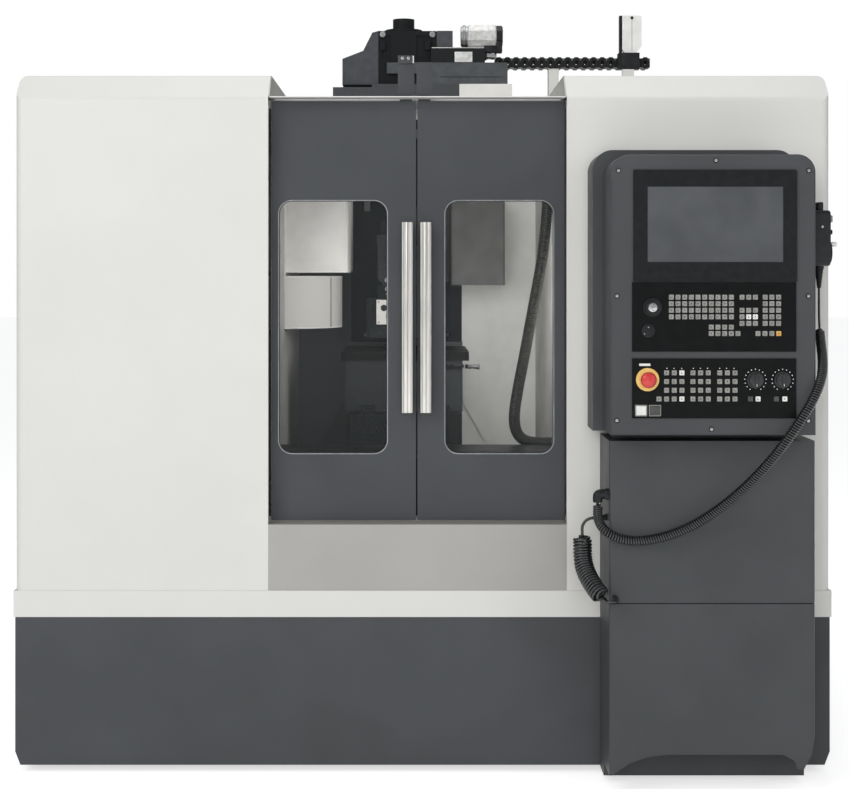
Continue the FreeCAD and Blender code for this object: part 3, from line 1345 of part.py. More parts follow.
# The hand-held unit on the pendant's side: its body and hook, the wheel with a crank, and the knobs.
unit = plate("YZ", ("pendant_right", "unit_x"), ("unit_y - unit_deep / 2", "unit_y + unit_deep / 2"),
             ("unit_low", "unit_high"))
unit.round("unit_round", *[("x", {"y": y, "z": z}) for y in ("min", "max") for z in ("min", "max")])
unit.pad("YZ", ("pendant_right", "pendant_right + 14"),
         rectangle(("unit_y - 16", "unit_y + 16"), ("unit_high - 5", "unit_high + hook_high")))
unit.pad("YZ", ("unit_x - 1", "unit_x + 7"), ["circle", "unit_y", "scale_knob_z", "axis_knob_round / 2"])
piece("handheld_body", unit)
wheel_at = ("unit_y", "wheel_z")
wheel = fuse(prism("x", wheel_at, ("unit_x + rest_gap", "unit_x + rest_gap + wheel_thick"),
                   "wheel_round", 50),
             rod("x", ("unit_y", "wheel_z + 21"),
                 ("unit_x + wheel_thick", "unit_x + wheel_thick + crank_long"), "crank_round"))
piece("handwheel", wheel)
piece("axis_knob", fuse(prism("x", ("unit_y", "axis_knob_z"), ("unit_x + rest_gap", "unit_x + 10"),
                              "axis_knob_round", 18),
                        block(("unit_x + 4", "unit_x + 12"), ("unit_y - 1.5", "unit_y + 1.5"),
                              ("axis_knob_z - axis_knob_round + 2", "axis_knob_z + axis_knob_round - 2"))))

# Where the cords enter: the strain relief, the gland with its nut, and the air line's two fittings.
relief = fuse(taper("z", ("relief_x", "unit_y"), ("unit_low - relief_long", "unit_low"),
                    "relief_neck", "relief_round"),
              prism("z", ("relief_x", "unit_y"), ("unit_low - 12", "unit_low"), "relief_round + 3", 6))
gland = fuse(block(("console_left - gland_wide", "console_left"), ("gland_y - 14", "gland_y + 16"),
                   ("gland_low + 8", "gland_low + gland_high")),
             prism("z", ("gland_x", "gland_y"), ("gland_low", "gland_low + 9"), "fitting_round + 3", 6))
air_inlet = prism("x", ("air_y", "air_z"), ("console_left - air_fitting", "console_left"), "fitting_round", 6)
air_socket = prism("y", ("air_socket", "air_socket_z"), ("console_y - air_socket_long", "console_y"),
                   "fitting_round", 6)
piece("cord_glands", group(relief, gland, air_inlet, air_socket))


# Cords and hoses: each path is made of straight runs and tangent arcs.
def bow(start, corner, end):
    """The arc that leaves start towards corner and reaches end from it."""
    middle, half = (start + end) * 0.5, (end - start).Length / 2
    return Part.Arc(start, middle + (corner - middle) * (half / (half + (corner - start).Length)), end)


def biarc(start, way_in, end, way_out):
    """Two tangent arcs between two places with given directions."""
    across, both = end - start, way_in + way_out
    spare = 2 * (1 - way_in.dot(way_out))
    reach = (math.sqrt(across.dot(both) ** 2 + spare * across.dot(across)) - across.dot(both)) / spare
    first, second = start + way_in * reach, end - way_out * reach
    joint = (first + second) * 0.5
    return [bow(start, first, joint), bow(joint, second, end)]


def radii_of(name, edges):
    """Prints how many arcs a path has and how tight they are."""
    radii = [edge.Curve.Radius for edge in edges if hasattr(edge.Curve, "Radius")]
    print("%s: %d arcs, radii %.1f to %.1f mm" % (name, len(radii), min(radii), max(radii)))
    return Part.Wire(edges)


def route(name, points, spread=0.45):
    """A path of straight runs joined by tangent arcs."""
    spots = [V(at("pendant_right") + x, at("front_y") + y, z) for x, y, z in points]
    edges = []
    here = spots[0]
    for before, corner, after in zip(spots, spots[1:], spots[2:]):
        back, forth = before - corner, after - corner
        reach = spread * min(back.Length, forth.Length)
        back.normalize()
        forth.normalize()
        start, end = corner + back * reach, corner + forth * reach
        edges += [Part.LineSegment(here, start), bow(start, corner, end)]
        here = end
    edges.append(Part.LineSegment(here, spots[-1]))
    return radii_of(name, [edge.toShape() for edge in edges])


def square_to(way):
    """A side vector square to a direction."""
    side = V(1, 0, 0) if abs(way.x) < 0.9 else V(0, 1, 0)
    side = side - way * side.dot(way)
    side.normalize()
    return side


def marks_along(path, step):
    """Places along a path, each with its direction and the length before it."""
    spots, ways, gone = [], [], []
    length = 0
    for edge in path.Edges:
        count = max(1, round(edge.Length / step))
        for index in range(count):
            mark = edge.FirstParameter + (edge.LastParameter - edge.FirstParameter) * index / count
            spots.append(edge.valueAt(mark))
            ways.append(edge.tangentAt(mark))
            gone.append(length + edge.Length * index / count)
        length += edge.Length
    last = path.Edges[-1]
    return (spots + [last.valueAt(last.LastParameter)], ways + [last.tangentAt(last.LastParameter)],
            gone + [length])


def ease(share):
    """Rises from 0 to 1 with level ends."""
    share = min(max(share, 0.0), 1.0)
    return share * share * (3 - 2 * share)


def wound(name, path, radius, turns, lead, tail, ramp=1.5):
    """Winds a wire round a path. Its first and last edges stay as they are, and the turns grow from them."""
    spots, ways, gone = marks_along(path, 2)
    sides = [square_to(ways[0])]
    for way in ways[1:]:
        side = sides[-1] - way * sides[-1].dot(way)
        side.normalize()
        sides.append(side)
    first = sum(edge.Length for edge in path.Edges[:lead])
    length = gone[-1] - first - sum(edge.Length for edge in path.Edges[-tail:])

    def line(turn):
        spot_at = first + length * turn / turns
        index = min(max(bisect.bisect(gone, spot_at) - 1, 0), len(gone) - 2)
        share = (spot_at - gone[index]) / (gone[index + 1] - gone[index])
        spot, way, side = [row[index] + (row[index + 1] - row[index]) * share
                           for row in (spots, ways, sides)]
        way.normalize()
        side = side - way * side.dot(way)
        side.normalize()
        out = radius * ease(turn / ramp) * ease((turns - turn) / ramp)
        angle = 2 * math.pi * turn
        return spot + (side * math.cos(angle) + way.cross(side) * math.sin(angle)) * out

    marks = [index / 4 for index in range(8)] + [index / 2 for index in range(4, 2 * turns - 3)]
    marks += [turns - 2 + index / 4 for index in range(1, 9)]
    nudge = 1e-4
    places, runs = [], []
    for mark in marks:
        places.append(line(mark))
        run = line(mark + nudge) - line(mark - nudge)
        run.normalize()
        runs.append(run)
    lead_edge, tail_edge = path.Edges[lead - 1], path.Edges[-tail]
    runs[0] = lead_edge.tangentAt(lead_edge.LastParameter)
    runs[-1] = tail_edge.tangentAt(tail_edge.FirstParameter)
    places[0] = lead_edge.valueAt(lead_edge.LastParameter)
    places[-1] = tail_edge.valueAt(tail_edge.FirstParameter)
    edges = []
    for here, run, there, next_run in zip(places, runs, places[1:], runs[1:]):
        edges += [edge.toShape() for edge in biarc(here, run, there, next_run)]
    return radii_of(name, path.Edges[:lead] + edges + path.Edges[-tail:])


def gap_to_itself(name, path, wire):
    """Prints the least gap between the turns of a wire, measured on points."""
    spots, _, gone = marks_along(path, 1)
    cell = 4 * wire
    cells = {}
    for index, spot in enumerate(spots):
        cells.setdefault((spot.x // cell, spot.y // cell, spot.z // cell), []).append(index)
    least = cell
    steps = (-1, 0, 1)
    for (x, y, z), members in cells.items():
        near = [other for i in steps for j in steps for k in steps
                for other in cells.get((x + i, y + j, z + k), [])]
        for index in members:
            for other in near:
                if gone[other] - gone[index] > 4 * wire:
                    least = min(least, (spots[index] - spots[other]).Length)
    print("%s: least gap to itself %.2f mm" % (name, least - 2 * wire))
    if least - 2 * wire < 0.4:
        raise RuntimeError("%s: its turns touch" % name)


def tube(name, path, radius, sides):
    """A tube of an even many-sided section along a path, checked against its section times its length."""
    first = path.Edges[0]
    spot, way = first.valueAt(first.FirstParameter), first.tangentAt(first.FirstParameter)
    side = square_to(way)
    turns = [2 * math.pi * (index + 0.5) / sides for index in range(sides)]
    ring = [spot + (side * math.cos(turn) + way.cross(side) * math.sin(turn)) * radius for turn in turns]
    solid = path.makePipeShell([Part.makePolygon(ring + ring[:1])], True, False)
    expected = sides / 2 * radius ** 2 * math.sin(2 * math.pi / sides) * path.Length
    if abs(solid.Volume / expected - 1) > 0.01:
        raise RuntimeError("%s: %.0f against %.0f" % (name, solid.Volume, expected))
    thing = doc.addObject("Part::Feature", name)
    thing.Shape = solid
    return thing


# The conduit in the work area: from the roof down along the right side to the gland in the wall.
CONDUIT = [(-617.5, 330, 1823), (-617.5, 330, 1740), (-618.5, 330, 1660), (-622, 330, 1580),
           (-627.5, 331, 1495), (-636.6, 335, 1405), (-650, 345, 1323.7), (-664.4, 361, 1242),
           (-678.6, 384, 1155), (-692, 410, 1076), (-704, 436, 1005), (-711.5, 460, 950),
           (-712.5, 480, 908), (-703, 500, 874), (-684, 515, 853), (-652, 521, 845), (-598, 521, 845)]
piece("conduit_hose", tube("conduit", route("conduit", CONDUIT), at("conduit_round"), 8))

# The hand-held unit's curly cord: down its side, along the front in a long sag and up into the gland.
CORD = [(29, -261, 1309), (29, -261, 1270), (28, -266, 1231), (27, -280, 1194), (26, -303, 1159),
        (24, -330, 1126), (17, -357, 1094), (3, -379, 1061), (-16, -391, 1026), (-40, -396, 989),
        (-67, -394, 949), (-97, -387, 905), (-131, -371, 860), (-167, -349, 816), (-206, -324, 775),
        (-248, -301, 738), (-293, -284, 706), (-341, -276, 683), (-389, -275, 669), (-436, -277, 663),
        (-474, -279, 667), (-505, -276, 678), (-526, -264, 695), (-535, -247, 714), (-535, -235, 736),
        (-535, -235, 757)]
curls = wound("curls", route("cord", CORD), at("curl_round"), int(at("curl_count")), 5, 3)
gap_to_itself("curls", curls, at("wire_round"))
piece("handheld_cord", tube("handheld_cord", curls, at("wire_round"), 4))

# The air line: out of the cabinet's side, down in a coil and round to the socket on the front.
AIR = [(-518, -190, 713), (-540, -190, 713), (-560, -190, 707), (-571, -190, 692), (-571, -190, 672),
       (-570, -190, 648), (-570, -191, 622), (-569, -198, 597), (-563, -212, 574), (-553, -231, 554),
       (-542, -249, 537), (-531, -262, 524), (-523, -273, 516), (-517.5, -283, 513), (-517.5, -292, 512),
       (-510, -299.5, 512), (-500, -299.5, 512), (-492.5, -292, 512), (-492.5, -283, 512)]
coils = wound("coils", route("air", AIR), at("coil_round"), int(at("coil_count")), 7, 11)
gap_to_itself("coils", coils, at("hose_round"))
piece("air_hose", tube("air_hose", coils, at("hose_round"), 4))

# Everything is computed, valid and in one piece before any file is written.
doc.recompute()
for thing in doc.Objects:
    if "Invalid" in thing.State or "Error" in thing.State:
        raise RuntimeError("%s failed: %s" % (thing.Name, thing.State))
for name, thing in PIECES.items():
    if thing.Shape.isNull() or not thing.Shape.isValid() or not thing.Shape.Solids:
        raise RuntimeError("%s has no valid solid" % name)
os.makedirs("parts", exist_ok=True)
for name, thing in PIECES.items():
    thing.Shape.exportStep(os.path.join("parts", name + ".step"))
print("%d pieces written" % len(PIECES))
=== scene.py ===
"""Looks for a vertical machining centre: paints, glass, lamps, controls, cords and small fittings.

Lengths are in metres. The front faces -Y, +X is to the operator's right and +Z is up.
"""

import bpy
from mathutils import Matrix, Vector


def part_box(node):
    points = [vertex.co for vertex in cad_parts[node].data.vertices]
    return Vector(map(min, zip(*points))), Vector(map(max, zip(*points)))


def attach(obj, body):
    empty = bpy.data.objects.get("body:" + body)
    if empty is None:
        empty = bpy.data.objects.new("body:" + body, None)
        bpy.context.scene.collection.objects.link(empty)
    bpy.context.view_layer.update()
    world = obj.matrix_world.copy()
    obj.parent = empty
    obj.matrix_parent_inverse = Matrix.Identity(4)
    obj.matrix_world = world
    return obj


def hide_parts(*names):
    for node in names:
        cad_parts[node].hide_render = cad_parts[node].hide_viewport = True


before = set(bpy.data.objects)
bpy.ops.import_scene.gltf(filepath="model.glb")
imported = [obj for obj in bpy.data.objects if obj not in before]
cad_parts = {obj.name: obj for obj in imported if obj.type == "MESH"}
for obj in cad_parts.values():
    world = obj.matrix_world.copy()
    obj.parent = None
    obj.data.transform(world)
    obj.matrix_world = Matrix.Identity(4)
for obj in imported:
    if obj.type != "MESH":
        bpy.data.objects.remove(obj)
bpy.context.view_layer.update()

import bisect
import math
import random

import bmesh
import bpy
from mathutils import Vector

bl_info = {
    "name": "Machining Centre Looks",
    "version": (1, 0, 0),
    "blender": (4, 5, 0),
    "location": "View3D > Sidebar > Machine",
    "description": "Paints and fits out an enclosed machining centre around its packed frame",
    "category": "Object",
}

MM = 0.001
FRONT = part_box("left_cover")[0][1]
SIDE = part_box("pendant_front")[1][0]
MAIN = "machine_frame"
TO_FRONT, TO_BACK, TO_RIGHT, UP = (0, -1, 0), (0, 1, 0), (1, 0, 0), (0, 0, 1)
CLEAR = 0.0003  # between a turning knob and the panel behind it
PAINTS = {}


# ---------------------------------------------------------------- colours and nodes

def linear(hex_colour):
    """One sRGB hex value, such as #dcdbd7, as linear RGBA."""
    parts = [int(hex_colour[index:index + 2], 16) / 255 for index in (1, 3, 5)]
    return [part / 12.92 if part <= 0.04045 else ((part + 0.055) / 1.055) ** 2.4 for part in parts] + [1.0]


def add_node(tree, kind, inputs=None, **settings):
    """Adds a node: settings are its own properties, inputs are values or links by socket name."""
    node = tree.nodes.new(kind)
    for key, value in settings.items():
        setattr(node, key, value)
    for key, value in (inputs or {}).items():
        socket = node.inputs[key]
        if isinstance(value, bpy.types.NodeSocket):
            tree.links.new(value, socket)
        else:
            socket.default_value = value
    return node


def new_paint(name, colour, metallic, roughness, gloss=0.5, more=None):
    """Makes a material with one shader; gives its tree, the shader and the places its patterns follow."""
    material = bpy.data.materials.new(name)
    material.use_nodes = True
    material.diffuse_color = linear(colour)
    tree = material.node_tree
    tree.nodes.clear()
    shader = add_node(tree, "ShaderNodeBsdfPrincipled",
                      {"Base Color": linear(colour), "Metallic": metallic, "Roughness": roughness,
                       "Specular IOR Level": gloss, **(more or {})})
    add_node(tree, "ShaderNodeOutputMaterial", {"Surface": shader.outputs[0]})
    place = add_node(tree, "ShaderNodeTexCoord").outputs["Object"]
    PAINTS[name] = material
    return tree, shader, place


def mottle(finish, dark, light, size_mm, spread=(0.35, 0.65), stretch=None):
    """Drifts the base colour between two tones over patches of a given size."""
    tree, shader, place = finish
    if stretch:
        place = add_node(tree, "ShaderNodeMapping", {"Vector": place, "Scale": stretch}).outputs[0]
    noise = add_node(tree, "ShaderNodeTexNoise",
                     {"Vector": place, "Scale": 1 / (size_mm * MM), "Detail": 3.0, "Roughness": 0.55})
    ramp = add_node(tree, "ShaderNodeValToRGB", {"Fac": noise.outputs["Fac"]})
    for element, spot, tone in zip(ramp.color_ramp.elements, spread, (dark, light)):
        element.position = spot
        element.color = linear(tone)
    tree.links.new(ramp.outputs["Color"], shader.inputs["Base Color"])


def grain(finish, size_mm, strength, depth_mm, stretch=None):
    """Raises a fine relief of a given size and depth."""
    tree, shader, place = finish
    if stretch:
        place = add_node(tree, "ShaderNodeMapping", {"Vector": place, "Scale": stretch}).outputs[0]
    noise = add_node(tree, "ShaderNodeTexNoise",
                     {"Vector": place, "Scale": 1 / (size_mm * MM), "Detail": 2.0, "Roughness": 0.6})
    bump = add_node(tree, "ShaderNodeBump", {"Height": noise.outputs["Fac"], "Strength": strength,
                                             "Distance": depth_mm * MM})
    tree.links.new(bump.outputs["Normal"], shader.inputs["Normal"])


def gloss_drift(finish, low, high, size_mm, stretch=None):
    """Lets the roughness wander, as handling and cleaning leave it."""
    tree, shader, place = finish
    if stretch:
        place = add_node(tree, "ShaderNodeMapping", {"Vector": place, "Scale": stretch}).outputs[0]
    noise = add_node(tree, "ShaderNodeTexNoise",
                     {"Vector": place, "Scale": 1 / (size_mm * MM), "Detail": 3.0})
    spread = add_node(tree, "ShaderNodeMapRange", {"Value": noise.outputs["Fac"], "From Min": 0.3,
                                                   "From Max": 0.7, "To Min": low, "To Max": high})
    tree.links.new(spread.outputs["Result"], shader.inputs["Roughness"])


def second_tone(finish, tone, **bounds):
    """Gives the part of a node inside the bounds another tone: ranges in millimetres, Y as depth."""
    tree, shader, place = finish
    axes = add_node(tree, "ShaderNodeSeparateXYZ", {"Vector": place})
    within = None
    for axis, (low, high) in bounds.items():
        middle = (low + high) / 2 * MM + (FRONT if axis == "Y" else 0)
        reach = (high - low) / 2 * MM
        inside = add_node(tree, "ShaderNodeMath", {0: axes.outputs[axis], 1: middle, 2: reach},
                          operation="COMPARE").outputs[0]
        if within is not None:
            inside = add_node(tree, "ShaderNodeMath", {0: within, 1: inside}, operation="MULTIPLY").outputs[0]
        within = inside
    first = shader.inputs["Base Color"].links[0].from_socket
    mix = add_node(tree, "ShaderNodeMix", {0: within, 6: first, 7: linear(tone)}, data_type="RGBA")
    tree.links.new(mix.outputs[2], shader.inputs["Base Color"])


def powder_coat(name, dark, light, roughness, patch_mm, gloss=0.5):
    """Sheet steel, powder coated and baked: an even satin film with a faint orange-peel skin.

    The peel is about 1 mm across on the real film and is drawn at 3 mm, so that it shows.
    """
    finish = new_paint(name, light, 0.0, roughness, gloss)
    mottle(finish, dark, light, patch_mm)
    grain(finish, 3.0, 0.08, 0.08)
    gloss_drift(finish, roughness - 0.05, roughness + 0.07, 140)
    return finish


def cast_iron(name, dark, light):
    """Grey iron, sand cast, filled and painted: a soft, slightly uneven skin."""
    finish = new_paint(name, light, 0.0, 0.55, 0.15)
    mottle(finish, dark, light, 26)
    grain(finish, 5.0, 0.05, 0.1)
    return finish


def moulded(name, dark, light, roughness, grain_mm, gloss=0.5):
    """ABS, injection moulded against an etched tool: a dull, finely pebbled skin."""
    finish = new_paint(name, light, 0.0, roughness, gloss)
    mottle(finish, dark, light, 18)
    grain(finish, grain_mm, 0.25, 0.1)


def make_paints(paint):
    """Every finish of the machine, by the name of its process, or by the painted light or shade it carries."""
    powder_coat("light_powder_coat", "#d6d5d1", paint.cover_hex, 0.42, 320)
    powder_coat("dark_powder_coat", "#46484b", paint.door_hex, 0.46, 300, 0.2)
    powder_coat("pendant_powder_coat", "#444648", paint.pendant_hex, 0.46, 220, 0.2)
    powder_coat("skirt_powder_coat", "#46484a", paint.skirt_hex, 0.50, 320, 0.2)
    # The changer's folded edges are painted lighter than its cover: a painted highlight.
    powder_coat("fold_highlight_powder_coat", "#d8d6d2", "#e4e2de", 0.38, 60)
    # The tool changer's housing is painted lighter than its drum cover below 1342 mm: painted light on the
    # housing, where little lamp light reaches it.
    finish = powder_coat("changer_powder_coat", "#d2d0cc", "#dedcd8", 0.42, 90)
    second_tone(finish, "#c2c0bb", Z=(1000, 1342))
    powder_coat("guard_powder_coat", "#a9a8a3", "#b7b6b1", 0.40, 80)
    # The work area's floor and its roof-shaped guard: a dark grey sheet painted near black, the extra darkness
    # painted shade.
    powder_coat("floor_powder_coat", "#121314", "#191a1b", 0.42, 60, 0.2)
    powder_coat("motor_powder_coat", "#1b1c1e", "#25272a", 0.40, 30, 0.3)
    powder_coat("head_guard_powder_coat", "#494847", "#555453", 0.42, 60, 0.2)

    # The apron's shelf behind the doors lies in their shade, which is painted on it as a dark tone.
    finish = powder_coat("apron_powder_coat", "#a4a29e", paint.apron_hex, 0.45, 240)
    second_tone(finish, "#404143", Y=(84, 600))

    # The wall behind the column is painted dark on the drum's side and light on the operator's right: the dark
    # side is painted shade.
    finish = powder_coat("back_guard_powder_coat", "#dcdbd6", "#e6e5e0", 0.42, 80)
    second_tone(finish, "#45464a", X=(-3000, 140))
    # The covers beside the column get the same painted shade on the drum's side.
    finish = powder_coat("slide_powder_coat", "#dcdbd6", "#e6e5e0", 0.42, 90)
    second_tone(finish, "#3c3e41", X=(-3000, 130))

    # The drive's housing is dark grey below and black on top.
    finish = powder_coat("beam_powder_coat", "#484b4d", "#525557", 0.46, 30, 0.2)
    second_tone(finish, "#1b1d1e", Z=(2069, 3000))

    cast_iron("column_cast_iron", "#1b1e20", "#222528")
    cast_iron("saddle_cast_iron", "#242628", "#2a2c2e")
    cast_iron("bed_cast_iron", "#121415", "#18191a")
    finish = cast_iron("crown_cast_iron", "#45474a", "#4d4f52")
    second_tone(finish, "#1a1c1d", X=(-146, 53.4))

    # Tool steel, ground: the table, painted almost black as painted shade, with faint streaks along X.
    finish = new_paint("table_steel_painted_shade", "#0c0d0d", 0.0, 0.45, 0.12)
    mottle(finish, "#090a0a", "#0f1011", 8.0, stretch=(0.1, 1.0, 1.0))

    # Tool steel, surface ground: fine straight scratches along X, drawn at 1.5 mm so that they show.
    finish = new_paint("ground_steel", "#8d8c8a", 1.0, 0.32)
    mottle(finish, "#7a7977", "#99989a", 1.5, stretch=(0.02, 1.0, 1.0))
    grain(finish, 1.5, 0.12, 0.05, stretch=(0.02, 1.0, 1.0))
    gloss_drift(finish, 0.26, 0.42, 30)

    # Aluminium, extruded, brushed lengthwise and clear anodised: a pale silky bar.
    finish = new_paint("anodised_aluminium", "#d6d4cf", 1.0, 0.36)
    mottle(finish, "#c6c4bf", "#e2e0db", 1.2, spread=(0.25, 0.75), stretch=(1.0, 1.0, 0.015))
    grain(finish, 1.2, 0.15, 0.06, stretch=(1.0, 1.0, 0.015))
    gloss_drift(finish, 0.30, 0.46, 60)

    # A pale grey, partly metallic bead round the windows that stands for the light along their edges: a painted
    # highlight, with a soft even shine.
    finish = new_paint("window_edge_highlight", "#96989a", 0.6, 0.42)
    mottle(finish, "#8a8c8e", "#a4a6a7", 12.0, stretch=(1.0, 1.0, 0.2))

    # Aluminium, die cast and lacquered: the servo motor's pale body and the lid over the drive, a little uneven.
    finish = new_paint("lacquered_cast_aluminium", "#d3d2d0", 0.25, 0.36)
    mottle(finish, "#bfbfbc", "#dedddb", 14.0)
    grain(finish, 1.6, 0.15, 0.05)

    # Steel, zinc plated and passivated: small screws and nuts with a milky shine.
    finish = new_paint("zinc_plated_steel", "#b9bab8", 1.0, 0.34)
    mottle(finish, "#a3a5a4", "#c6c7c4", 3.0)

    # Steel, hard chromed: the key and its plug, mirror bright.
    finish = new_paint("chromed_steel", "#d8d9da", 1.0, 0.12)
    gloss_drift(finish, 0.08, 0.18, 8)

    moulded("black_moulded_plastic", "#151618", "#1d1f21", 0.42, 1.5, 0.3)
    moulded("bezel_moulded_plastic", "#131415", "#1a1c1d", 0.40, 1.5, 0.2)
    moulded("chain_moulded_nylon", "#161718", "#202122", 0.42, 1.2, 0.25)
    moulded("grey_key_plastic", "#7d7d79", "#92928e", 0.48, 0.8)
    moulded("pale_key_plastic", "#d5d5d1", "#e6e6e2", 0.42, 0.8)
    moulded("orange_key_plastic", "#c08f45", "#d6a558", 0.42, 0.8)
    moulded("yellow_ring_plastic", "#e0b560", "#ecc67a", 0.40, 1.0)
    moulded("dim_key_plastic", "#434443", "#525351", 0.46, 0.8, 0.3)
    moulded("dial_moulded_plastic", "#2b2d2f", "#343638", 0.34, 0.8, 0.3)
    moulded("key_ink", "#2c2d2d", "#3a3b3b", 0.50, 0.5)

    # Polyester film, screen printed from behind: flat black with a soft even sheen.
    finish = new_paint("printed_film", "#0d0e0f", 0.0, 0.36, 0.12)
    mottle(finish, "#0b0c0c", "#101112", 30)
    grain(finish, 1.0, 0.12, 0.03)

    # Display cover, float glass with a matt hard coat over a dark panel.
    finish = new_paint("screen_glass", "#4d4f52", 0.0, 0.34, 0.2,
                       more={"Coat Weight": 0.10, "Coat Roughness": 0.12})
    mottle(finish, "#484a4d", "#525457", 110)

    # Polycarbonate, extruded sheet: nearly clear, with faint wiping streaks in its gloss.
    finish = new_paint("window_polycarbonate", "#9aa0a0", 0.0, 0.06, 0.15,
                       more={"IOR": 1.58, "Alpha": 0.03})
    gloss_drift(finish, 0.04, 0.10, 40, stretch=(1.0, 1.0, 0.15))

    # Acrylic, opal cast: milky, light spreads inside it.
    finish = new_paint("opal_acrylic", "#ededea", 0.0, 0.22,
                       more={"IOR": 1.49, "Subsurface Weight": 0.25, "Subsurface Radius": (0.01, 0.01, 0.01)})
    mottle(finish, "#e6e6e2", "#f2f2ef", 40)

    # Acetal, moulded glossy: the red mushroom head.
    finish = new_paint("red_moulded_acetal", "#c43332", 0.0, 0.26, more={"Coat Weight": 0.2})
    mottle(finish, "#b82c2b", "#cf3b39", 12)

    # Aluminium, machined and clear lacquered: the servo motor's flange, with fine turning marks.
    finish = new_paint("machined_aluminium", "#a8abab", 1.0, 0.38)
    mottle(finish, "#8f9393", "#bfc1c0", 2.0, stretch=(1.0, 0.05, 0.05))
    grain(finish, 2.0, 0.2, 0.08, stretch=(1.0, 0.05, 0.05))

    # Steel strip, wound and galvanised: the conduit's dull ribbed skin.
    finish = new_paint("galvanised_strip", "#63635f", 1.0, 0.46)
    mottle(finish, "#4f4f4c", "#72726e", 6.0)
    gloss_drift(finish, 0.38, 0.55, 12)

    # Polyurethane, extruded: the cords' black skin, with a clear gloss that gives small bright glints.
    finish = new_paint("extruded_polyurethane", "#121315", 0.0, 0.30,
                       more={"Coat Weight": 0.6, "Coat Roughness": 0.15})
    mottle(finish, "#0d0e10", "#17191b", 9.0)
    grain(finish, 1.2, 0.10, 0.05)

    # Nitrile rubber, moulded: dull black window seals, screw cups and seams.
    finish = new_paint("moulded_rubber", "#1c1d1e", 0.0, 0.62)
    mottle(finish, "#171819", "#222325", 6.0)
    grain(finish, 1.0, 0.2, 0.05)


NODE_PAINTS = {
    "light_powder_coat": ["left_cover", "right_cover", "frame_band", "middle_roof", "electrical_cabinet",
                          "cabinet_door", "roof_posts"],
    "skirt_powder_coat": ["base_skirt"],
    "dark_powder_coat": ["left_door", "right_door"],
    "pendant_powder_coat": ["pendant_rear", "pendant_front", "cabinet_upper", "cabinet_lower"],
    "apron_powder_coat": ["front_apron"],
    "changer_powder_coat": ["changer_cover", "drum_cover", "coolant_block"],
    "guard_powder_coat": ["inner_walls"],
    "floor_powder_coat": ["work_floor"],
    "slide_powder_coat": ["x_covers"],
    "back_guard_powder_coat": ["back_wall"],
    "head_guard_powder_coat": ["head_cover"],
    "motor_powder_coat": ["spindle_motor"],
    "beam_powder_coat": ["drive_beam"],
    "column_cast_iron": ["column", "head_casting"],
    "saddle_cast_iron": ["saddle"],
    "bed_cast_iron": ["bed_casting"],
    "crown_cast_iron": ["top_casting"],
    "table_steel_painted_shade": ["table"],
    "ground_steel": ["z_rails", "spindle", "tool_drum", "levelling_feet"],
    "anodised_aluminium": ["left_handle", "right_handle"],
    "machined_aluminium": ["x_servo"],
    "chromed_steel": ["key_switch", "axis_knob"],
    "black_moulded_plastic": ["handheld_body", "cord_glands", "feed_knob", "speed_knob", "handwheel"],
    "bezel_moulded_plastic": ["display_bezel"],
    "chain_moulded_nylon": ["energy_chain"],
    "grey_key_plastic": ["panel_keys"],
    "pale_key_plastic": ["start_button", "hold_button"],
    "printed_film": ["keyboard_panel", "machine_panel"],
    "screen_glass": ["display_glass"],
    "window_polycarbonate": ["left_window", "right_window"],
    "opal_acrylic": ["signal_lamp"],
    "red_moulded_acetal": ["emergency_stop"],
    "galvanised_strip": ["conduit_hose"],
    "extruded_polyurethane": ["handheld_cord", "air_hose"],
}


def paint_nodes():
    """Gives each of the frame's nodes its finish."""
    for paint, nodes in NODE_PAINTS.items():
        for node in nodes:
            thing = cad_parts[node]
            for slot in thing.material_slots:
                slot.material = PAINTS[paint]
            if not thing.material_slots:
                thing.data.materials.append(PAINTS[paint])


# ---------------------------------------------------------------- pieces

def finished(name, bm, paint, body=MAIN, smooth=30, replaced=()):
    """Turns a mesh in the making into a piece on the body that carries it.

    Faces that meet at less than smooth degrees are shaded as one. The piece may stand for nodes of the frame.
    """
    mesh = bpy.data.meshes.new(name)
    bmesh.ops.recalc_face_normals(bm, faces=bm.faces)
    bm.to_mesh(mesh)
    bm.free()
    piece = bpy.data.objects.new(name, mesh)
    bpy.context.scene.collection.objects.link(piece)
    mesh.materials.append(PAINTS[paint])
    if smooth:
        mesh.polygons.foreach_set("use_smooth", [True] * len(mesh.polygons))
        mesh.set_sharp_from_angle(angle=math.radians(smooth))
    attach(piece, body)
    if replaced:
        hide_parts(*replaced)
    return piece


def put_block(bm, low, high, edge=0.0, steps=2):
    """Adds a block between two corners, its edges rounded."""
    made = bmesh.ops.create_cube(bm, size=1.0)["verts"]
    middle = [(a + b) / 2 for a, b in zip(low, high)]
    size = [b - a for a, b in zip(low, high)]
    for vert in made:
        vert.co = Vector([m + c * s for m, c, s in zip(middle, vert.co, size)])
    if edge:
        geometry = list({line for vert in made for line in vert.link_edges})
        bmesh.ops.bevel(bm, geom=geometry, offset=edge, segments=steps, profile=0.5, affect="EDGES")
    return bm


def put_rings(bm, rings, closed=False):
    """Adds a skin through rings of places, closed with faces at its ends or back onto its first ring."""
    made = [[bm.verts.new(place) for place in ring] for ring in rings]
    count = len(made[0])
    for first, second in zip(made, made[1:] + made[:1] if closed else made[1:]):
        for index in range(count):
            following = (index + 1) % count
            bm.faces.new((first[index], first[following], second[following], second[index]))
    if not closed:
        bm.faces.new(list(reversed(made[0])))
        bm.faces.new(made[-1])
    return bm


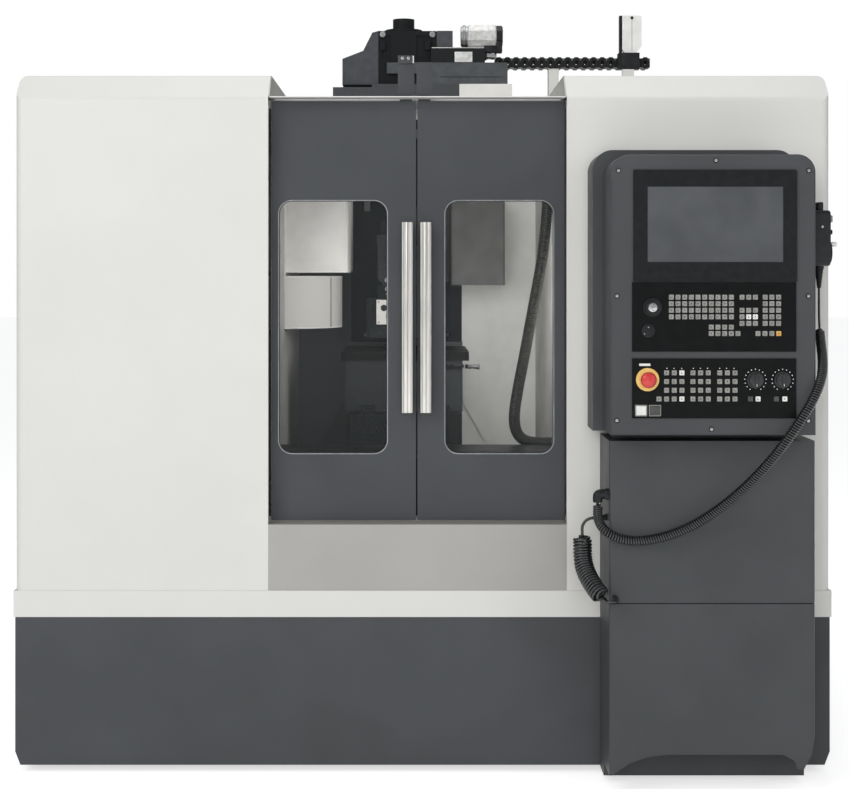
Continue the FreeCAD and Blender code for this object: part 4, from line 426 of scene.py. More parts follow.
def put_turned(bm, centre, axis, outline, steps=24, hollow=False):
    """Adds a turned form: outline is (radius, height along the axis) from one end to the other."""
    turn = Vector(UP).rotation_difference(Vector(axis)).to_matrix()
    angles = [math.tau * index / steps for index in range(steps)]
    rings = [[Vector(centre) + turn @ Vector((radius * math.cos(angle), radius * math.sin(angle), height))
              for angle in angles] for radius, height in outline]
    return put_rings(bm, rings, closed=hollow)


# ---------------------------------------------------------------- places and shapes

def spot(x, depth, z):
    """A place given in millimetres: x, the depth behind the enclosure's front, and the height."""
    return Vector((x * MM, FRONT + depth * MM, z * MM))


def faced(node):
    """A node's low and high corners, and the x and z of its middle."""
    low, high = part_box(node)
    return low, high, (low[0] + high[0]) / 2, (low[2] + high[2]) / 2


def rounded(low, high, radius, steps=8):
    """The outline of a rounded rectangle, as (across, up) places."""
    outline = []
    left, bottom, right, top = low[0] + radius, low[1] + radius, high[0] - radius, high[1] - radius
    for across, up, start in ((right, top, 0), (left, top, 90), (left, bottom, 180), (right, bottom, 270)):
        for index in range(steps + 1):
            angle = math.radians(start + 90 * index / steps)
            outline.append((across + radius * math.cos(angle), up + radius * math.sin(angle)))
    return outline


def put_frame(bm, low, high, radius, width, front, back):
    """Adds a flat rounded frame that faces the operator: low and high are (x, z) corners."""
    inner_low, inner_high = [place + width for place in low], [place - width for place in high]
    outer = rounded(low, high, radius)
    inner = rounded(inner_low, inner_high, max(radius - width, 0.0002))
    return put_rings(bm, [[(x, y, z) for x, z in outline]
                          for outline, y in ((outer, back), (outer, front), (inner, front), (inner, back))],
                     closed=True)


def put_screw(bm, place, axis, radius):
    """Adds a button-head screw with a socket, its head standing on a place and pointing along an axis."""
    return put_turned(bm, place, axis, [(radius, 0), (radius, 0.3 * radius), (0.84 * radius, 0.58 * radius),
                                        (0.48 * radius, 0.66 * radius), (0.44 * radius, 0.25 * radius)], 20)


def spline_line(points):
    """The smooth line of a route: its points steer a NURBS spline, which is read back as places."""
    curve = bpy.data.curves.new("route", "CURVE")
    curve.dimensions = "3D"
    curve.resolution_u = 24
    spline = curve.splines.new("NURBS")
    spline.points.add(len(points) - 1)
    for point, (x, y, z) in zip(spline.points, points):
        point.co = (SIDE + x, FRONT + y, z, 1.0)
    spline.order_u = 3
    spline.use_endpoint_u = True
    holder = bpy.data.objects.new("route", curve)
    mesh = bpy.data.meshes.new_from_object(holder)
    line = [vert.co.copy() for vert in mesh.vertices]
    bpy.data.objects.remove(holder)
    bpy.data.curves.remove(curve)
    bpy.data.meshes.remove(mesh)
    return line


def walk(line):
    """For each place on a line: the length so far, the direction and a side that doesn't twist."""
    gone, ways = [0.0], []
    for before, after in zip(line, line[1:]):
        gone.append(gone[-1] + (after - before).length)
    for index in range(len(line)):
        ways.append((line[min(index + 1, len(line) - 1)] - line[max(index - 1, 0)]).normalized())
    sides = [ways[0].orthogonal().normalized()]
    for way in ways[1:]:
        sides.append((sides[-1] - way * sides[-1].dot(way)).normalized())
    return gone, ways, sides


def along(line, gone, length):
    """The place at a length along a line, with the index before it and the share of the way to the next."""
    index = min(max(bisect.bisect_right(gone, length) - 1, 0), len(line) - 2)
    share = (length - gone[index]) / (gone[index + 1] - gone[index])
    return line[index].lerp(line[index + 1], share), index, share


def evenly(line, step):
    """The same line with places a given step apart."""
    gone = walk(line)[0]
    count = round(gone[-1] / step)
    return [along(line, gone, gone[-1] * index / count)[0] for index in range(count + 1)]


def ease(share):
    """A soft step from 0 to 1."""
    share = min(max(share, 0.0), 1.0)
    return share * share * (3 - 2 * share)


def wound(line, radius, turns, lead, tail, ramp, steps):
    """The centre line of a wire that winds round a route.

    It follows the route straight over lead at one end and tail at the other, swells over ramp turns and has
    a given number of steps a turn.
    """
    gone, ways, sides = walk(line)
    span = gone[-1] - lead - tail
    apart = 0.001
    places = [place for place, length in zip(line, gone) if length < lead - apart]
    for index in range(turns * steps + 1):
        turn = index / steps
        place, before, share = along(line, gone, lead + span * turn / turns)
        way = ways[before].lerp(ways[before + 1], share).normalized()
        side = sides[before].lerp(sides[before + 1], share)
        side = (side - way * side.dot(way)).normalized()
        out = radius * ease(turn / ramp) * ease((turns - turn) / ramp)
        places.append(place + (side * math.cos(math.tau * turn)
                               + way.cross(side) * math.sin(math.tau * turn)) * out)
    return places + [place for place, length in zip(line, gone) if length > gone[-1] - tail + apart]


def put_tube(bm, line, radius, sides=8):
    """Adds a round tube along a line; radius is one number, or gives one for each length along it."""
    rings = []
    for place, length, way, side in zip(line, *walk(line)):
        wide = radius(length) if callable(radius) else radius
        up = way.cross(side)
        turns = [math.tau * index / sides for index in range(sides)]
        rings.append([place + (side * math.cos(turn) + up * math.sin(turn)) * wide for turn in turns])
    return put_rings(bm, rings)


def node_islands(node):
    """The low and high corners of each separate flat front of a node, from left to right and downwards."""
    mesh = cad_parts[node].data
    front = min(vert.co.y for vert in mesh.vertices)
    groups = {}

    def top_of(key):
        """The place that stands for all those joined to this one."""
        while groups[key] != key:
            key = groups[key]
        return key

    for face in mesh.polygons:
        corners = [mesh.vertices[index].co for index in face.vertices]
        if max(corner.y for corner in corners) < front + 0.0001:
            keys = [(round(corner.x, 5), round(corner.z, 5)) for corner in corners]
            for key in keys:
                groups.setdefault(key, key)
            for key in keys[1:]:
                groups[top_of(key)] = top_of(keys[0])
    islands = {}
    for key in groups:
        islands.setdefault(top_of(key), []).append(key)
    boxes = [tuple(tuple(limit(key[axis] for key in keys) for axis in (0, 1)) for limit in (min, max))
             for keys in islands.values()]
    return front, sorted(boxes, key=lambda box: (-round(box[0][1], 3), box[0][0]))


# ---------------------------------------------------------------- cords and hoses

# The routes' points, in metres: x from the pendant's right side, y from the enclosure's front, and height.
CORD_ROUTE = [
    (0.029, -0.261, 1.309), (0.029, -0.261, 1.270), (0.028, -0.266, 1.231), (0.027, -0.280, 1.194),
    (0.026, -0.303, 1.159), (0.024, -0.330, 1.126), (0.017, -0.357, 1.094), (0.003, -0.379, 1.061),
    (-0.016, -0.391, 1.026), (-0.040, -0.396, 0.989), (-0.067, -0.394, 0.949), (-0.097, -0.387, 0.905),
    (-0.131, -0.371, 0.860), (-0.167, -0.349, 0.816), (-0.206, -0.324, 0.775), (-0.248, -0.301, 0.738),
    (-0.293, -0.284, 0.706), (-0.341, -0.276, 0.683), (-0.389, -0.275, 0.669), (-0.436, -0.277, 0.663),
    (-0.474, -0.279, 0.667), (-0.505, -0.276, 0.678), (-0.526, -0.264, 0.695), (-0.535, -0.247, 0.714),
    (-0.535, -0.235, 0.736), (-0.535, -0.235, 0.757)]
AIR_ROUTE = [
    (-0.518, -0.190, 0.713), (-0.540, -0.190, 0.713), (-0.560, -0.190, 0.707), (-0.571, -0.190, 0.692),
    (-0.571, -0.190, 0.672), (-0.570, -0.190, 0.648), (-0.570, -0.191, 0.622), (-0.569, -0.198, 0.597),
    (-0.563, -0.212, 0.574), (-0.553, -0.231, 0.554), (-0.542, -0.249, 0.537), (-0.531, -0.262, 0.524),
    (-0.523, -0.273, 0.516), (-0.5175, -0.283, 0.513), (-0.5175, -0.292, 0.512), (-0.510, -0.2995, 0.512),
    (-0.500, -0.2995, 0.512), (-0.4925, -0.292, 0.512), (-0.4925, -0.283, 0.512)]
CONDUIT_ROUTE = [
    (-0.6175, 0.330, 1.823), (-0.6175, 0.330, 1.740), (-0.6185, 0.330, 1.660), (-0.622, 0.330, 1.580),
    (-0.6275, 0.331, 1.495), (-0.6366, 0.335, 1.405), (-0.650, 0.345, 1.3237), (-0.6644, 0.361, 1.242),
    (-0.6786, 0.384, 1.155), (-0.692, 0.410, 1.076), (-0.704, 0.436, 1.005), (-0.7115, 0.460, 0.950),
    (-0.7125, 0.480, 0.908), (-0.703, 0.500, 0.874), (-0.684, 0.515, 0.853), (-0.652, 0.521, 0.845),
    (-0.598, 0.521, 0.845)]


def build_curly_cord(fittings):
    """The hand-held unit's curly cord: a wire wound tightly along its whole hanging length."""
    line = evenly(spline_line(CORD_ROUTE), step=0.002)
    wire = wound(line, fittings.curl_radius, fittings.curl_count, lead=0.105, tail=0.002, ramp=1.5, steps=16)
    bm = put_tube(bmesh.new(), wire, fittings.curl_wire, sides=7)
    cord = finished("curly_cord", bm, "extruded_polyurethane", smooth=60, replaced=["handheld_cord"])
    walk(wire)[0][-1]


def build_air_line(fittings):
    """The coiled air line beside the cabinet, from its inlet to its socket."""
    line = evenly(spline_line(AIR_ROUTE), step=0.002)
    hose = wound(line, fittings.coil_radius, fittings.coil_count, lead=0.085, tail=0.064, ramp=1.2, steps=28)
    bm = put_tube(bmesh.new(), hose, fittings.coil_wire, sides=9)
    cord = finished("coiled_air_line", bm, "extruded_polyurethane", smooth=60, replaced=["air_hose"])
    walk(hose)[0][-1]


def build_conduit(fittings):
    """The flexible conduit that hangs down the work area's right side: a strip wound into close ribs."""
    line = evenly(spline_line(CONDUIT_ROUTE), step=0.0012)
    pitch, crest, root = 0.0070, fittings.conduit_radius, fittings.conduit_radius - 0.0026

    def ribbed(length):
        """The conduit's radius at a length along it."""
        return root + (crest - root) * (0.5 - 0.5 * math.cos(math.tau * length / pitch))

    bm = put_tube(bmesh.new(), line, ribbed, sides=20)
    hose = finished("ribbed_conduit", bm, "galvanised_strip", smooth=70, replaced=["conduit_hose"])
    walk(line)[0][-1]


def build_glands():
    """Where the cords enter: a ribbed strain relief, an elbow with its nut, and two hose fittings."""
    bm = bmesh.new()
    outline = [(0.0052, 0)]
    for index in range(9):
        wide, height = 0.0058 + 0.0006 * index, 0.004 + 0.005 * index
        outline += [(wide - 0.0006, height), (wide + 0.0005, height + 0.0006),
                    (wide + 0.0005, height + 0.0026), (wide - 0.0004, height + 0.0032)]
    put_turned(bm, spot(1014, -261, 1309), UP, outline + [(0.0125, 0.0488), (0.0125, 0.056)])
    elbow = spline_line([(-0.510, -0.234, 0.778), (-0.523, -0.234, 0.779), (-0.5345, -0.2345, 0.777),
                         (-0.535, -0.235, 0.767), (-0.535, -0.235, 0.7655)])
    put_tube(bm, elbow, 0.0125, 20)
    put_turned(bm, spot(469, -234, 778), TO_RIGHT,
               [(0.0145, 0), (0.0150, 0.001), (0.0150, 0.009), (0.0145, 0.0100)], 8)
    put_turned(bm, spot(450, -235, 757), UP,
               [(0.0105, 0), (0.0122, 0.0012), (0.0122, 0.0080), (0.0112, 0.0092)], 6)
    for place, axis, long in ((spot(467, -190, 713), TO_RIGHT, 0.012),
                              (spot(492.5, -283, 512), TO_BACK, 0.038)):
        put_turned(bm, place, axis, [(0.0062, 0), (0.0072, 0.0008), (0.0072, long * 0.45),
                                     (0.0088, long * 0.48), (0.0088, long * 0.92), (0.0082, long)])
    finished("cord_fittings", bm, "black_moulded_plastic", replaced=["cord_glands"])


# ---------------------------------------------------------------- doors and windows

# The windows' sides, their bottom and top, and the radius of their corners, in millimetres.
WINDOWS = {"left_door": (-394, -94), "right_door": (60, 360)}
WINDOW_LEVELS = (854, 1548)
WINDOW_CORNER = 38


def build_window_trims():
    """A rubber seal and a thin bright bead round each door's window; the bead is a painted highlight along the
    window's edge.
    """
    for body, (left, right) in WINDOWS.items():
        low, high = (left * MM, WINDOW_LEVELS[0] * MM), (right * MM, WINDOW_LEVELS[1] * MM)
        for end, paint, width, front, back in (("_seal", "moulded_rubber", 0.0042, 0.0574, 0.0608),
                                               ("_bead", "window_edge_highlight", 0.0024, 0.0546, 0.0574)):
            bm = put_frame(bmesh.new(), low, high, WINDOW_CORNER * MM, width, FRONT + front, FRONT + back)
            finished(body + end, bm, paint, body)


def build_handles():
    """Extruded pull bars with two shallow flutes, closed by end caps, on two feet each."""
    for body, node in (("left_door", "left_handle"), ("right_door", "right_handle")):
        low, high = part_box(node)
        middle, half, front = (low[0] + high[0]) / 2, (high[0] - low[0]) / 2, low[1]
        side = [(half - 0.0045, front), (half - 0.0014, front + 0.0014), (half, front + 0.0045),
                (half, front + 0.0115), (half - 0.0005, front + 0.0120)]
        section = [(-x, y) for x, y in reversed(side)]
        for index in range(13):
            share = index / 12
            x = (-half + 0.0045) + (2 * half - 0.009) * share
            section.append((x, front + 0.0020 * abs(math.sin(math.tau * share)) ** 0.7))
        section += side
        bm = bmesh.new()
        ends = ((0.96, low[2]), (1.0, low[2] + 0.0006), (1.0, high[2] - 0.0006), (0.96, high[2]))
        put_rings(bm, [[(middle + x * wide, front + (y - front) * wide + 0.006 * (1 - wide), z)
                        for x, y in section] for wide, z in ends])
        for foot in (low[2] + 0.016, high[2] - 0.040):
            put_block(bm, (middle - half * 0.62, front + 0.0115, foot),
                      (middle + half * 0.62, high[1], foot + 0.024), 0.002)
        finished(body + "_pull", bm, "anodised_aluminium", body, replaced=[node])


def build_hangers():
    """The plates, bolts and edge strip of the doors' hangers above the roof."""
    bm = put_block(bmesh.new(), spot(-67, 62.6, 1834), spot(-22, 65.0, 1921), 0.0008)
    put_block(bm, spot(-67, 57.6, 1921), spot(-22, 60.0, 1943), 0.0008)
    finished("left_hanger_plate", bm, "dark_powder_coat", "left_door")
    bm = put_block(bmesh.new(), spot(-16, 62.6, 1834), spot(27.5, 65.0, 1925), 0.0008)
    finished("right_hanger_plate", bm, "dark_powder_coat", "right_door")
    bm = bmesh.new()
    for x in (-54, -38):
        put_screw(bm, spot(x, 57.6, 1935), TO_FRONT, 0.0050)
    finished("left_hanger_bolts", bm, "zinc_plated_steel", "left_door")
    bm = put_block(bmesh.new(), spot(-26.4, 56.6, 1922), spot(-23.6, 57.8, 1942), 0.0004)
    finished("left_hanger_strip", bm, "pale_key_plastic", "left_door")


# ---------------------------------------------------------------- pendant and controls

# Places on the pendant's front, as (x, height) in millimetres.
PENDANT_SCREWS = [(490, 1604), (734.3, 1629.7), (967, 1604), (486, 1289.7), (966.1, 1289.7), (486, 977.7),
                  (966.1, 976.9), (723.3, 955.6)]
BRIGHT_KEYS = [(648.1, 1031.5), (838.8, 1031.3), (906.5, 1031.3), (815.0, 1238.5), (831.7, 1238.5),
               (644, 1097)]
ORANGE_KEY = (891.2, 1195.7)
DIM_KEYS = [(819.5, 1031.3), (885.7, 1031.3)]
INDICATORS = [(x, 1108.2) for x in (611.0, 628.5, 648.1, 677.2, 694.9, 712.7, 743.1, 760.6, 778.9)]
# The marks on the keys: bars as (left, bottom, right, top) from the key's middle, in millimetres.
KEY_MARKS = {"bar": [(-2.4, -0.6, 2.4, 0.6)],
             "bars": [(-2.4, 0.7, 2.4, 1.7), (-2.4, -1.7, 1.2, -0.7)],
             "corner": [(-2.2, -2.2, -1.2, 2.2), (-1.2, -2.2, 2.2, -1.2)],
             "cross": [(-2.4, -0.5, 2.4, 0.5), (-0.5, 0.5, 0.5, 2.4), (-0.5, -2.4, 0.5, -0.5)],
             "dot": [(-1.3, -1.3, 1.3, 1.3)]}


def build_pendant_screws(fittings):
    """Eight bright screws in dark cups round the pendant's front."""
    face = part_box("pendant_front")[0][1]
    cups, heads = bmesh.new(), bmesh.new()
    for x, z in PENDANT_SCREWS:
        place = Vector((x * MM, face - 0.0001, z * MM))
        put_turned(cups, place, TO_FRONT, [(0.0068, 0), (0.0068, 0.0005), (0.0062, 0.0009), (0.0052, 0.0004)])
        put_screw(heads, place - Vector((0, 0.0004, 0)), TO_FRONT, fittings.screw_radius)
    finished("pendant_screw_cups", cups, "moulded_rubber")
    finished("pendant_screw_heads", heads, "zinc_plated_steel")


def build_keys():
    """Short-stroke keys with rounded edges and dished tops, some of them lit, with small generic marks."""
    front, boxes = node_islands("panel_keys")
    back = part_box("panel_keys")[1][1]
    chance = random.Random(7)
    names = {"grey_key_plastic": "grey_keys", "pale_key_plastic": "lit_keys",
             "orange_key_plastic": "orange_key", "dim_key_plastic": "dim_keys", "key_ink": "key_marks"}
    meshes = {paint: bmesh.new() for paint in names}

    def near(places, middle):
        """Whether a key's middle is at one of the places."""
        return any((Vector(place) * MM - middle).length < 0.006 for place in places)

    if not boxes:
        raise RuntimeError("no keys found on the panels")
    for low, high in boxes:
        middle = (Vector(low) + Vector(high)) / 2
        paint = ("orange_key_plastic" if near([ORANGE_KEY], middle) else
                 "pale_key_plastic" if near(BRIGHT_KEYS, middle) else
                 "dim_key_plastic" if near(DIM_KEYS, middle) else "grey_key_plastic")
        half = (high[0] - low[0]) / 2
        rings = []
        for wide, y in ((1.0, back), (1.0, front + 0.0006), (0.94, front), (0.80, front - 0.0001),
                        (0.70, front + 0.0003)):
            corner = Vector((half, half)) * wide
            rings.append([(x, y, z) for x, z in rounded(middle - corner, middle + corner, 0.0014 * wide, 3)])
        put_rings(meshes[paint], rings)
        for left, bottom, right, top in KEY_MARKS[chance.choice(list(KEY_MARKS))]:
            put_block(meshes["key_ink"], (middle.x + left * MM, front + 0.0001, middle.y + bottom * MM),
                      (middle.x + right * MM, front + 0.0004, middle.y + top * MM))
    for paint, bm in meshes.items():
        if bm.verts:
            finished(names[paint], bm, paint, replaced=["panel_keys"] if paint == "grey_key_plastic" else ())


def build_panel_trims():
    """Rings, frames, scales and indicators that stay put round the controls."""
    face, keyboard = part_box("machine_panel")[0][1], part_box("keyboard_panel")[0][1]
    low, high, x, z = faced("emergency_stop")
    bm = put_turned(bmesh.new(), (x, face, z), TO_FRONT,
                    [(0.0125, 0), (0.0290, 0), (0.0292, 0.0008), (0.0284, 0.0020), (0.0125, 0.0024)],
                    64, hollow=True)
    finished("stop_ring", bm, "yellow_ring_plastic")

    bm, dots = bmesh.new(), bmesh.new()
    for node in ("feed_knob", "speed_knob"):
        low, high, x, z = faced(node)
        reach, count = 0.0267, 15
        for index in range(count):
            angle = math.radians(-150 + 300 / (count - 1) * index)
            put_turned(dots, (x + reach * math.sin(angle), face, z + reach * math.cos(angle)), TO_FRONT,
                       [(0.0014, 0), (0.0014, 0.0002), (0.0010, 0.0003)], 12)
    for x, z in INDICATORS:
        put_turned(dots, (x * MM, face, z * MM), TO_FRONT,
                   [(0.0013, 0), (0.0013, 0.0004), (0.0007, 0.0007)], 10)
    put_block(dots, (0.5415, face - 0.0006, 1.1142), (0.5697, face + 0.0001, 1.1203), 0.0004)
    finished("panel_dots", dots, "pale_key_plastic", smooth=0)

    gap = 0.0026
    for node in ("start_button", "hold_button"):
        low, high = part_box(node)
        put_frame(bm, (low[0] - gap, low[2] - gap), (high[0] + gap, high[2] + gap),
                  radius=0.002, width=0.0022, front=face - 0.0016, back=face)
    finished("button_frames", bm, "grey_key_plastic")

    port = (0.5639, keyboard, 1.2024)
    bm = put_turned(bmesh.new(), port, TO_FRONT,
                    [(0.0165, -0.0004), (0.0170, 0.0002), (0.0165, 0.0014), (0.0125, 0.0018), (0.0118, 0.0004)],
                    40)
    put_block(bm, (port[0] + 0.0040, port[1] - 0.0022, port[2] + 0.0020),
              (port[0] + 0.0100, port[1] - 0.0002, port[2] + 0.0040), 0.0005)
    finished("service_port", bm, "black_moulded_plastic")
    # Two small bright dots on the port stand for its glints: painted highlights.
    bm = bmesh.new()
    for across, up in ((-0.0095, -0.0075), (0.0005, 0.0085)):
        put_turned(bm, (port[0] + across, port[1] - 0.0012, port[2] + up), TO_FRONT,
                   [(0.0016, 0), (0.0016, 0.0006), (0.0009, 0.0011)], 12)
    finished("service_port_glints", bm, "zinc_plated_steel")

    low, high, x, z = faced("key_switch")
    bm = put_turned(bmesh.new(), (x, keyboard, z), TO_FRONT,
                    [(0.0194, 0), (0.0238, 0), (0.0238, 0.0020), (0.0225, 0.0034), (0.0194, 0.0034)],
                    48, hollow=True)
    finished("lock_rim", bm, "black_moulded_plastic")


def build_lock():
    """The key switch: a black barrel with a bright plug, and the key in it with a holed bow."""
    low, high, x, z = faced("key_switch")
    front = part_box("keyboard_panel")[0][1] - CLEAR
    barrel = put_turned(bmesh.new(), (x, front, z), TO_FRONT,
                        [(0.0190, 0), (0.0190, 0.0060), (0.0182, 0.0074), (0.0150, 0.0080), (0.0128, 0.0072)],
                        48)
    put_turned(barrel, (x, high[1], z), TO_FRONT, [(0.0058, 0), (0.0058, high[1] - front + 0.001)], 20)
    finished("lock_barrel", barrel, "black_moulded_plastic", "key_switch", replaced=["key_switch"])
    key = put_turned(bmesh.new(), (x, front - 0.0070, z), TO_FRONT,
                     [(0.0110, 0), (0.0110, 0.0022), (0.0102, 0.0028), (0.0060, 0.0030)], 32)
    put_block(key, (x - 0.0011, front - 0.0105 - 0.006, z - 0.0028), (x + 0.0011, front - 0.0090, z + 0.0028),
              0.0004)

    def oval(across, depth, deep, tall):
        """A closed line round the bow or its hole, standing across the key."""
        turns = [math.tau * index / 28 for index in range(28)]
        return [(x + across, low[1] + depth + deep * math.cos(turn), z + tall * math.sin(turn))
                for turn in turns]

    bow = [oval(across, 0.0105, 0.0100 * wide, 0.0088 * wide)
           for across, wide in ((-0.0013, 0.95), (-0.0009, 1.0), (0.0009, 1.0), (0.0013, 0.95))]
    hole = [oval(across, 0.0070, 0.0032, 0.0032) for across in (0.0013, -0.0013)]
    put_rings(key, bow + hole, closed=True)
    finished("lock_key", key, "chromed_steel", "key_switch")


def build_buttons():
    """The mushroom stop button, the two lit push buttons and the two override dials."""
    low, high, x, z = faced("emergency_stop")
    half, top = (high[0] - low[0]) / 2, high[1] - low[1]
    bm = put_turned(bmesh.new(), (x, high[1], z), TO_FRONT,
                    [(0.0070, 0), (0.0070, top - 0.014), (half - 0.004, top - 0.0135), (half, top - 0.0110),
                     (half, top - 0.0085), (half - 0.0015, top - 0.0050), (half - 0.0050, top - 0.0022),
                     (half - 0.0105, top - 0.0006), (0.0030, top)], 48)
    finished("stop_mushroom", bm, "red_moulded_acetal", "emergency_stop", smooth=50,
             replaced=["emergency_stop"])
    for node, paint in (("start_button", "pale_key_plastic"), ("hold_button", "dim_key_plastic")):
        low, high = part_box(node)
        rings = []
        for inset, y in ((0.0, high[1]), (0.0, low[1] + 0.0012), (0.0010, low[1] + 0.0002), (0.0030, low[1]),
                         (0.0042, low[1] + 0.0007)):
            outline = rounded((low[0] + inset, low[2] + inset), (high[0] - inset, high[2] - inset), 0.0020, 4)
            rings.append([(across, y, up) for across, up in outline])
        finished(node + "_cap", put_rings(bmesh.new(), rings), paint, node, replaced=[node])
    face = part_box("machine_panel")[0][1]
    for node in ("feed_knob", "speed_knob"):
        low, high, x, z = faced(node)
        half, front, top = (high[0] - low[0]) / 2, face - CLEAR, face - low[1]
        bm = put_turned(bmesh.new(), (x, front, z), TO_FRONT,
                        [(half, 0), (half, 0.0022), (half - 0.0010, 0.0032), (half - 0.0030, 0.0036),
                         (half - 0.0034, top - 0.0060), (half - 0.0042, top - 0.0044),
                         (half - 0.0058, top - 0.0040)], 56)
        put_turned(bm, (x, high[1], z), TO_FRONT, [(0.0058, 0), (0.0058, high[1] - front + 0.001)], 20)
        put_block(bm, (x - 0.0030, low[1], z - half + 0.0050),
                  (x + 0.0030, front - top + 0.0062, z + half - 0.0050), 0.0011)
        finished(node + "_dial", bm, "dial_moulded_plastic", node, replaced=[node])
        bm = put_block(bmesh.new(), (x - 0.0009, front - 0.0031, z - half + 0.0002),
                       (x + 0.0009, front - 0.0020, z - half + 0.0034), 0.0003)
        put_block(bm, (x - 0.0007, low[1] - 0.0002, z - half + 0.0058),
                  (x + 0.0007, low[1] + 0.0012, z - half + 0.0120), 0.0002)
        finished(node + "_pointer", bm, "pale_key_plastic", node)


# ---------------------------------------------------------------- drive, head and work area

SERVO_AXIS = (1327, 2161)  # depth and height, in millimetres


def build_top_drive():
    """Socket bolts on the top casting, and the servo motor with its flange, body, cap and plug."""
    bm = bmesh.new()
    for x in (-131, 38.5):
        put_turned(bm, spot(x, 1317.9, 2168), TO_FRONT,
                   [(0.0098, 0), (0.0098, 0.0016), (0.0076, 0.0018), (0.0076, 0.0072), (0.0068, 0.0080),
                    (0.0040, 0.0080), (0.0038, 0.0040)], 24)
    finished("casting_bolts", bm, "zinc_plated_steel", "carriage")

    depth, height = SERVO_AXIS

    def ring(x, across):
        """One octagonal section of the motor, across its flats."""
        reach = across / math.cos(math.radians(22.5))
        turns = [math.radians(22.5 + 45 * index) for index in range(8)]
        return [spot(x, depth + reach * math.cos(turn), height + reach * math.sin(turn)) for turn in turns]

    bm = bmesh.new()
    put_rings(bm, [ring(158, 34), ring(162, 38), ring(252, 38), ring(256, 35)])
    for x in (168, 246):
        put_rings(bm, [ring(x - 2, 38), ring(x - 1.4, 38.8), ring(x + 1.4, 38.8), ring(x + 2, 38)])
    finished("servo_body", bm, "lacquered_cast_aluminium", "carriage", replaced=["x_servo"])
    bm = bmesh.new()
    put_turned(bm, spot(135, depth, height), TO_RIGHT,
               [(0.030, 0), (0.0335, 0.001), (0.0335, 0.006), (0.0385, 0.0065), (0.0385, 0.0150),
                (0.0370, 0.0165), (0.0345, 0.0170), (0.0345, 0.0240)], 48)
    finished("servo_flange", bm, "machined_aluminium", "carriage")
    bm = bmesh.new()
    put_rings(bm, [ring(255, 33), ring(257, 35.5), ring(274, 35.5), ring(278, 31)])
    put_block(bm, spot(258, 1295, 2108), spot(276, 1350, 2150), 0.002)
    put_block(bm, spot(138, 1312, 2118.2), spot(215, 1347, 2126), 0.0015)
    put_block(bm, spot(214, 1302, 2105), spot(276, 1345, 2128), 0.0015)
    put_turned(bm, spot(214, 1315, 2094), TO_RIGHT,
               [(0.0150, 0), (0.0160, 0.001), (0.0160, 0.008), (0.0150, 0.009)], 6)
    finished("servo_cap", bm, "black_moulded_plastic", "carriage")
    bm = bmesh.new()
    put_turned(bm, spot(223, 1315, 2094), TO_RIGHT,
               [(0.0115, 0), (0.0130, 0.001), (0.0130, 0.006), (0.0120, 0.007), (0.0120, 0.014),
                (0.0136, 0.015), (0.0136, 0.028), (0.0118, 0.030), (0.0085, 0.034)], 28)
    for turn in range(4):
        angle = math.radians(45 + 90 * turn)
        place = spot(277.2, depth + 26 * math.cos(angle), height + 26 * math.sin(angle))
        put_screw(bm, place, TO_RIGHT, 0.0028)
    finished("servo_plug", bm, "zinc_plated_steel", "carriage")
    bm = put_block(bmesh.new(), spot(36, 1296.2, 2118.1), spot(214, 1308, 2121), 0.0008)
    put_block(bm, spot(114, 1293.2, 2070.5), spot(174, 1294.4, 2105.5), 0.0003)
    finished("case_lid", bm, "lacquered_cast_aluminium", "carriage")


def build_lamp():
    """The signal lamp's seam, dark tip and foot, and the cable chain's lines, with pale dots on its link pins as
    painted glints.
    """
    bm = put_block(bmesh.new(), spot(720.3, 1331.4, 2112), spot(721.9, 1332.2, 2228), 0.0003)
    finished("lamp_seam", bm, "grey_key_plastic")
    bm = put_turned(bmesh.new(), spot(721, 1331.9, 2226), TO_FRONT,
                    [(0.0052, 0), (0.0052, 0.0012), (0.0040, 0.0018)], 20)
    put_block(bm, spot(688, 1327.2, 2052), spot(747, 1334, 2107), 0.0016)
    for x in (697, 738):
        put_screw(bm, spot(x, 1327.2, 2061), TO_FRONT, 0.0030)
    finished("lamp_foot", bm, "black_moulded_plastic")
    pin_glints, strips = bmesh.new(), put_block(bmesh.new(), spot(266, 1380, 2076.5), spot(785, 1414, 2090), 0.0006)
    first, pitch = 254, 29.6
    for index in range(int((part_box("energy_chain")[1][0] - first * MM) / (pitch * MM))):
        x = first + pitch * index
        put_block(strips, spot(x + 7, 1380, 2062), spot(x + 12.5, 1414, 2078), 0.0004)
        # Pale dots on the chain's link pins: painted glints.
        if not 648 < x < 732:
            put_turned(pin_glints, spot(x + 28.3, 1366.2, 2086.5), TO_FRONT,
                       [(0.0022, 0), (0.0022, 0.0006), (0.0015, 0.0012)], 12)
    finished("chain_pin_glints", pin_glints, "grey_key_plastic")
    finished("chain_lines", strips, "chain_moulded_nylon")


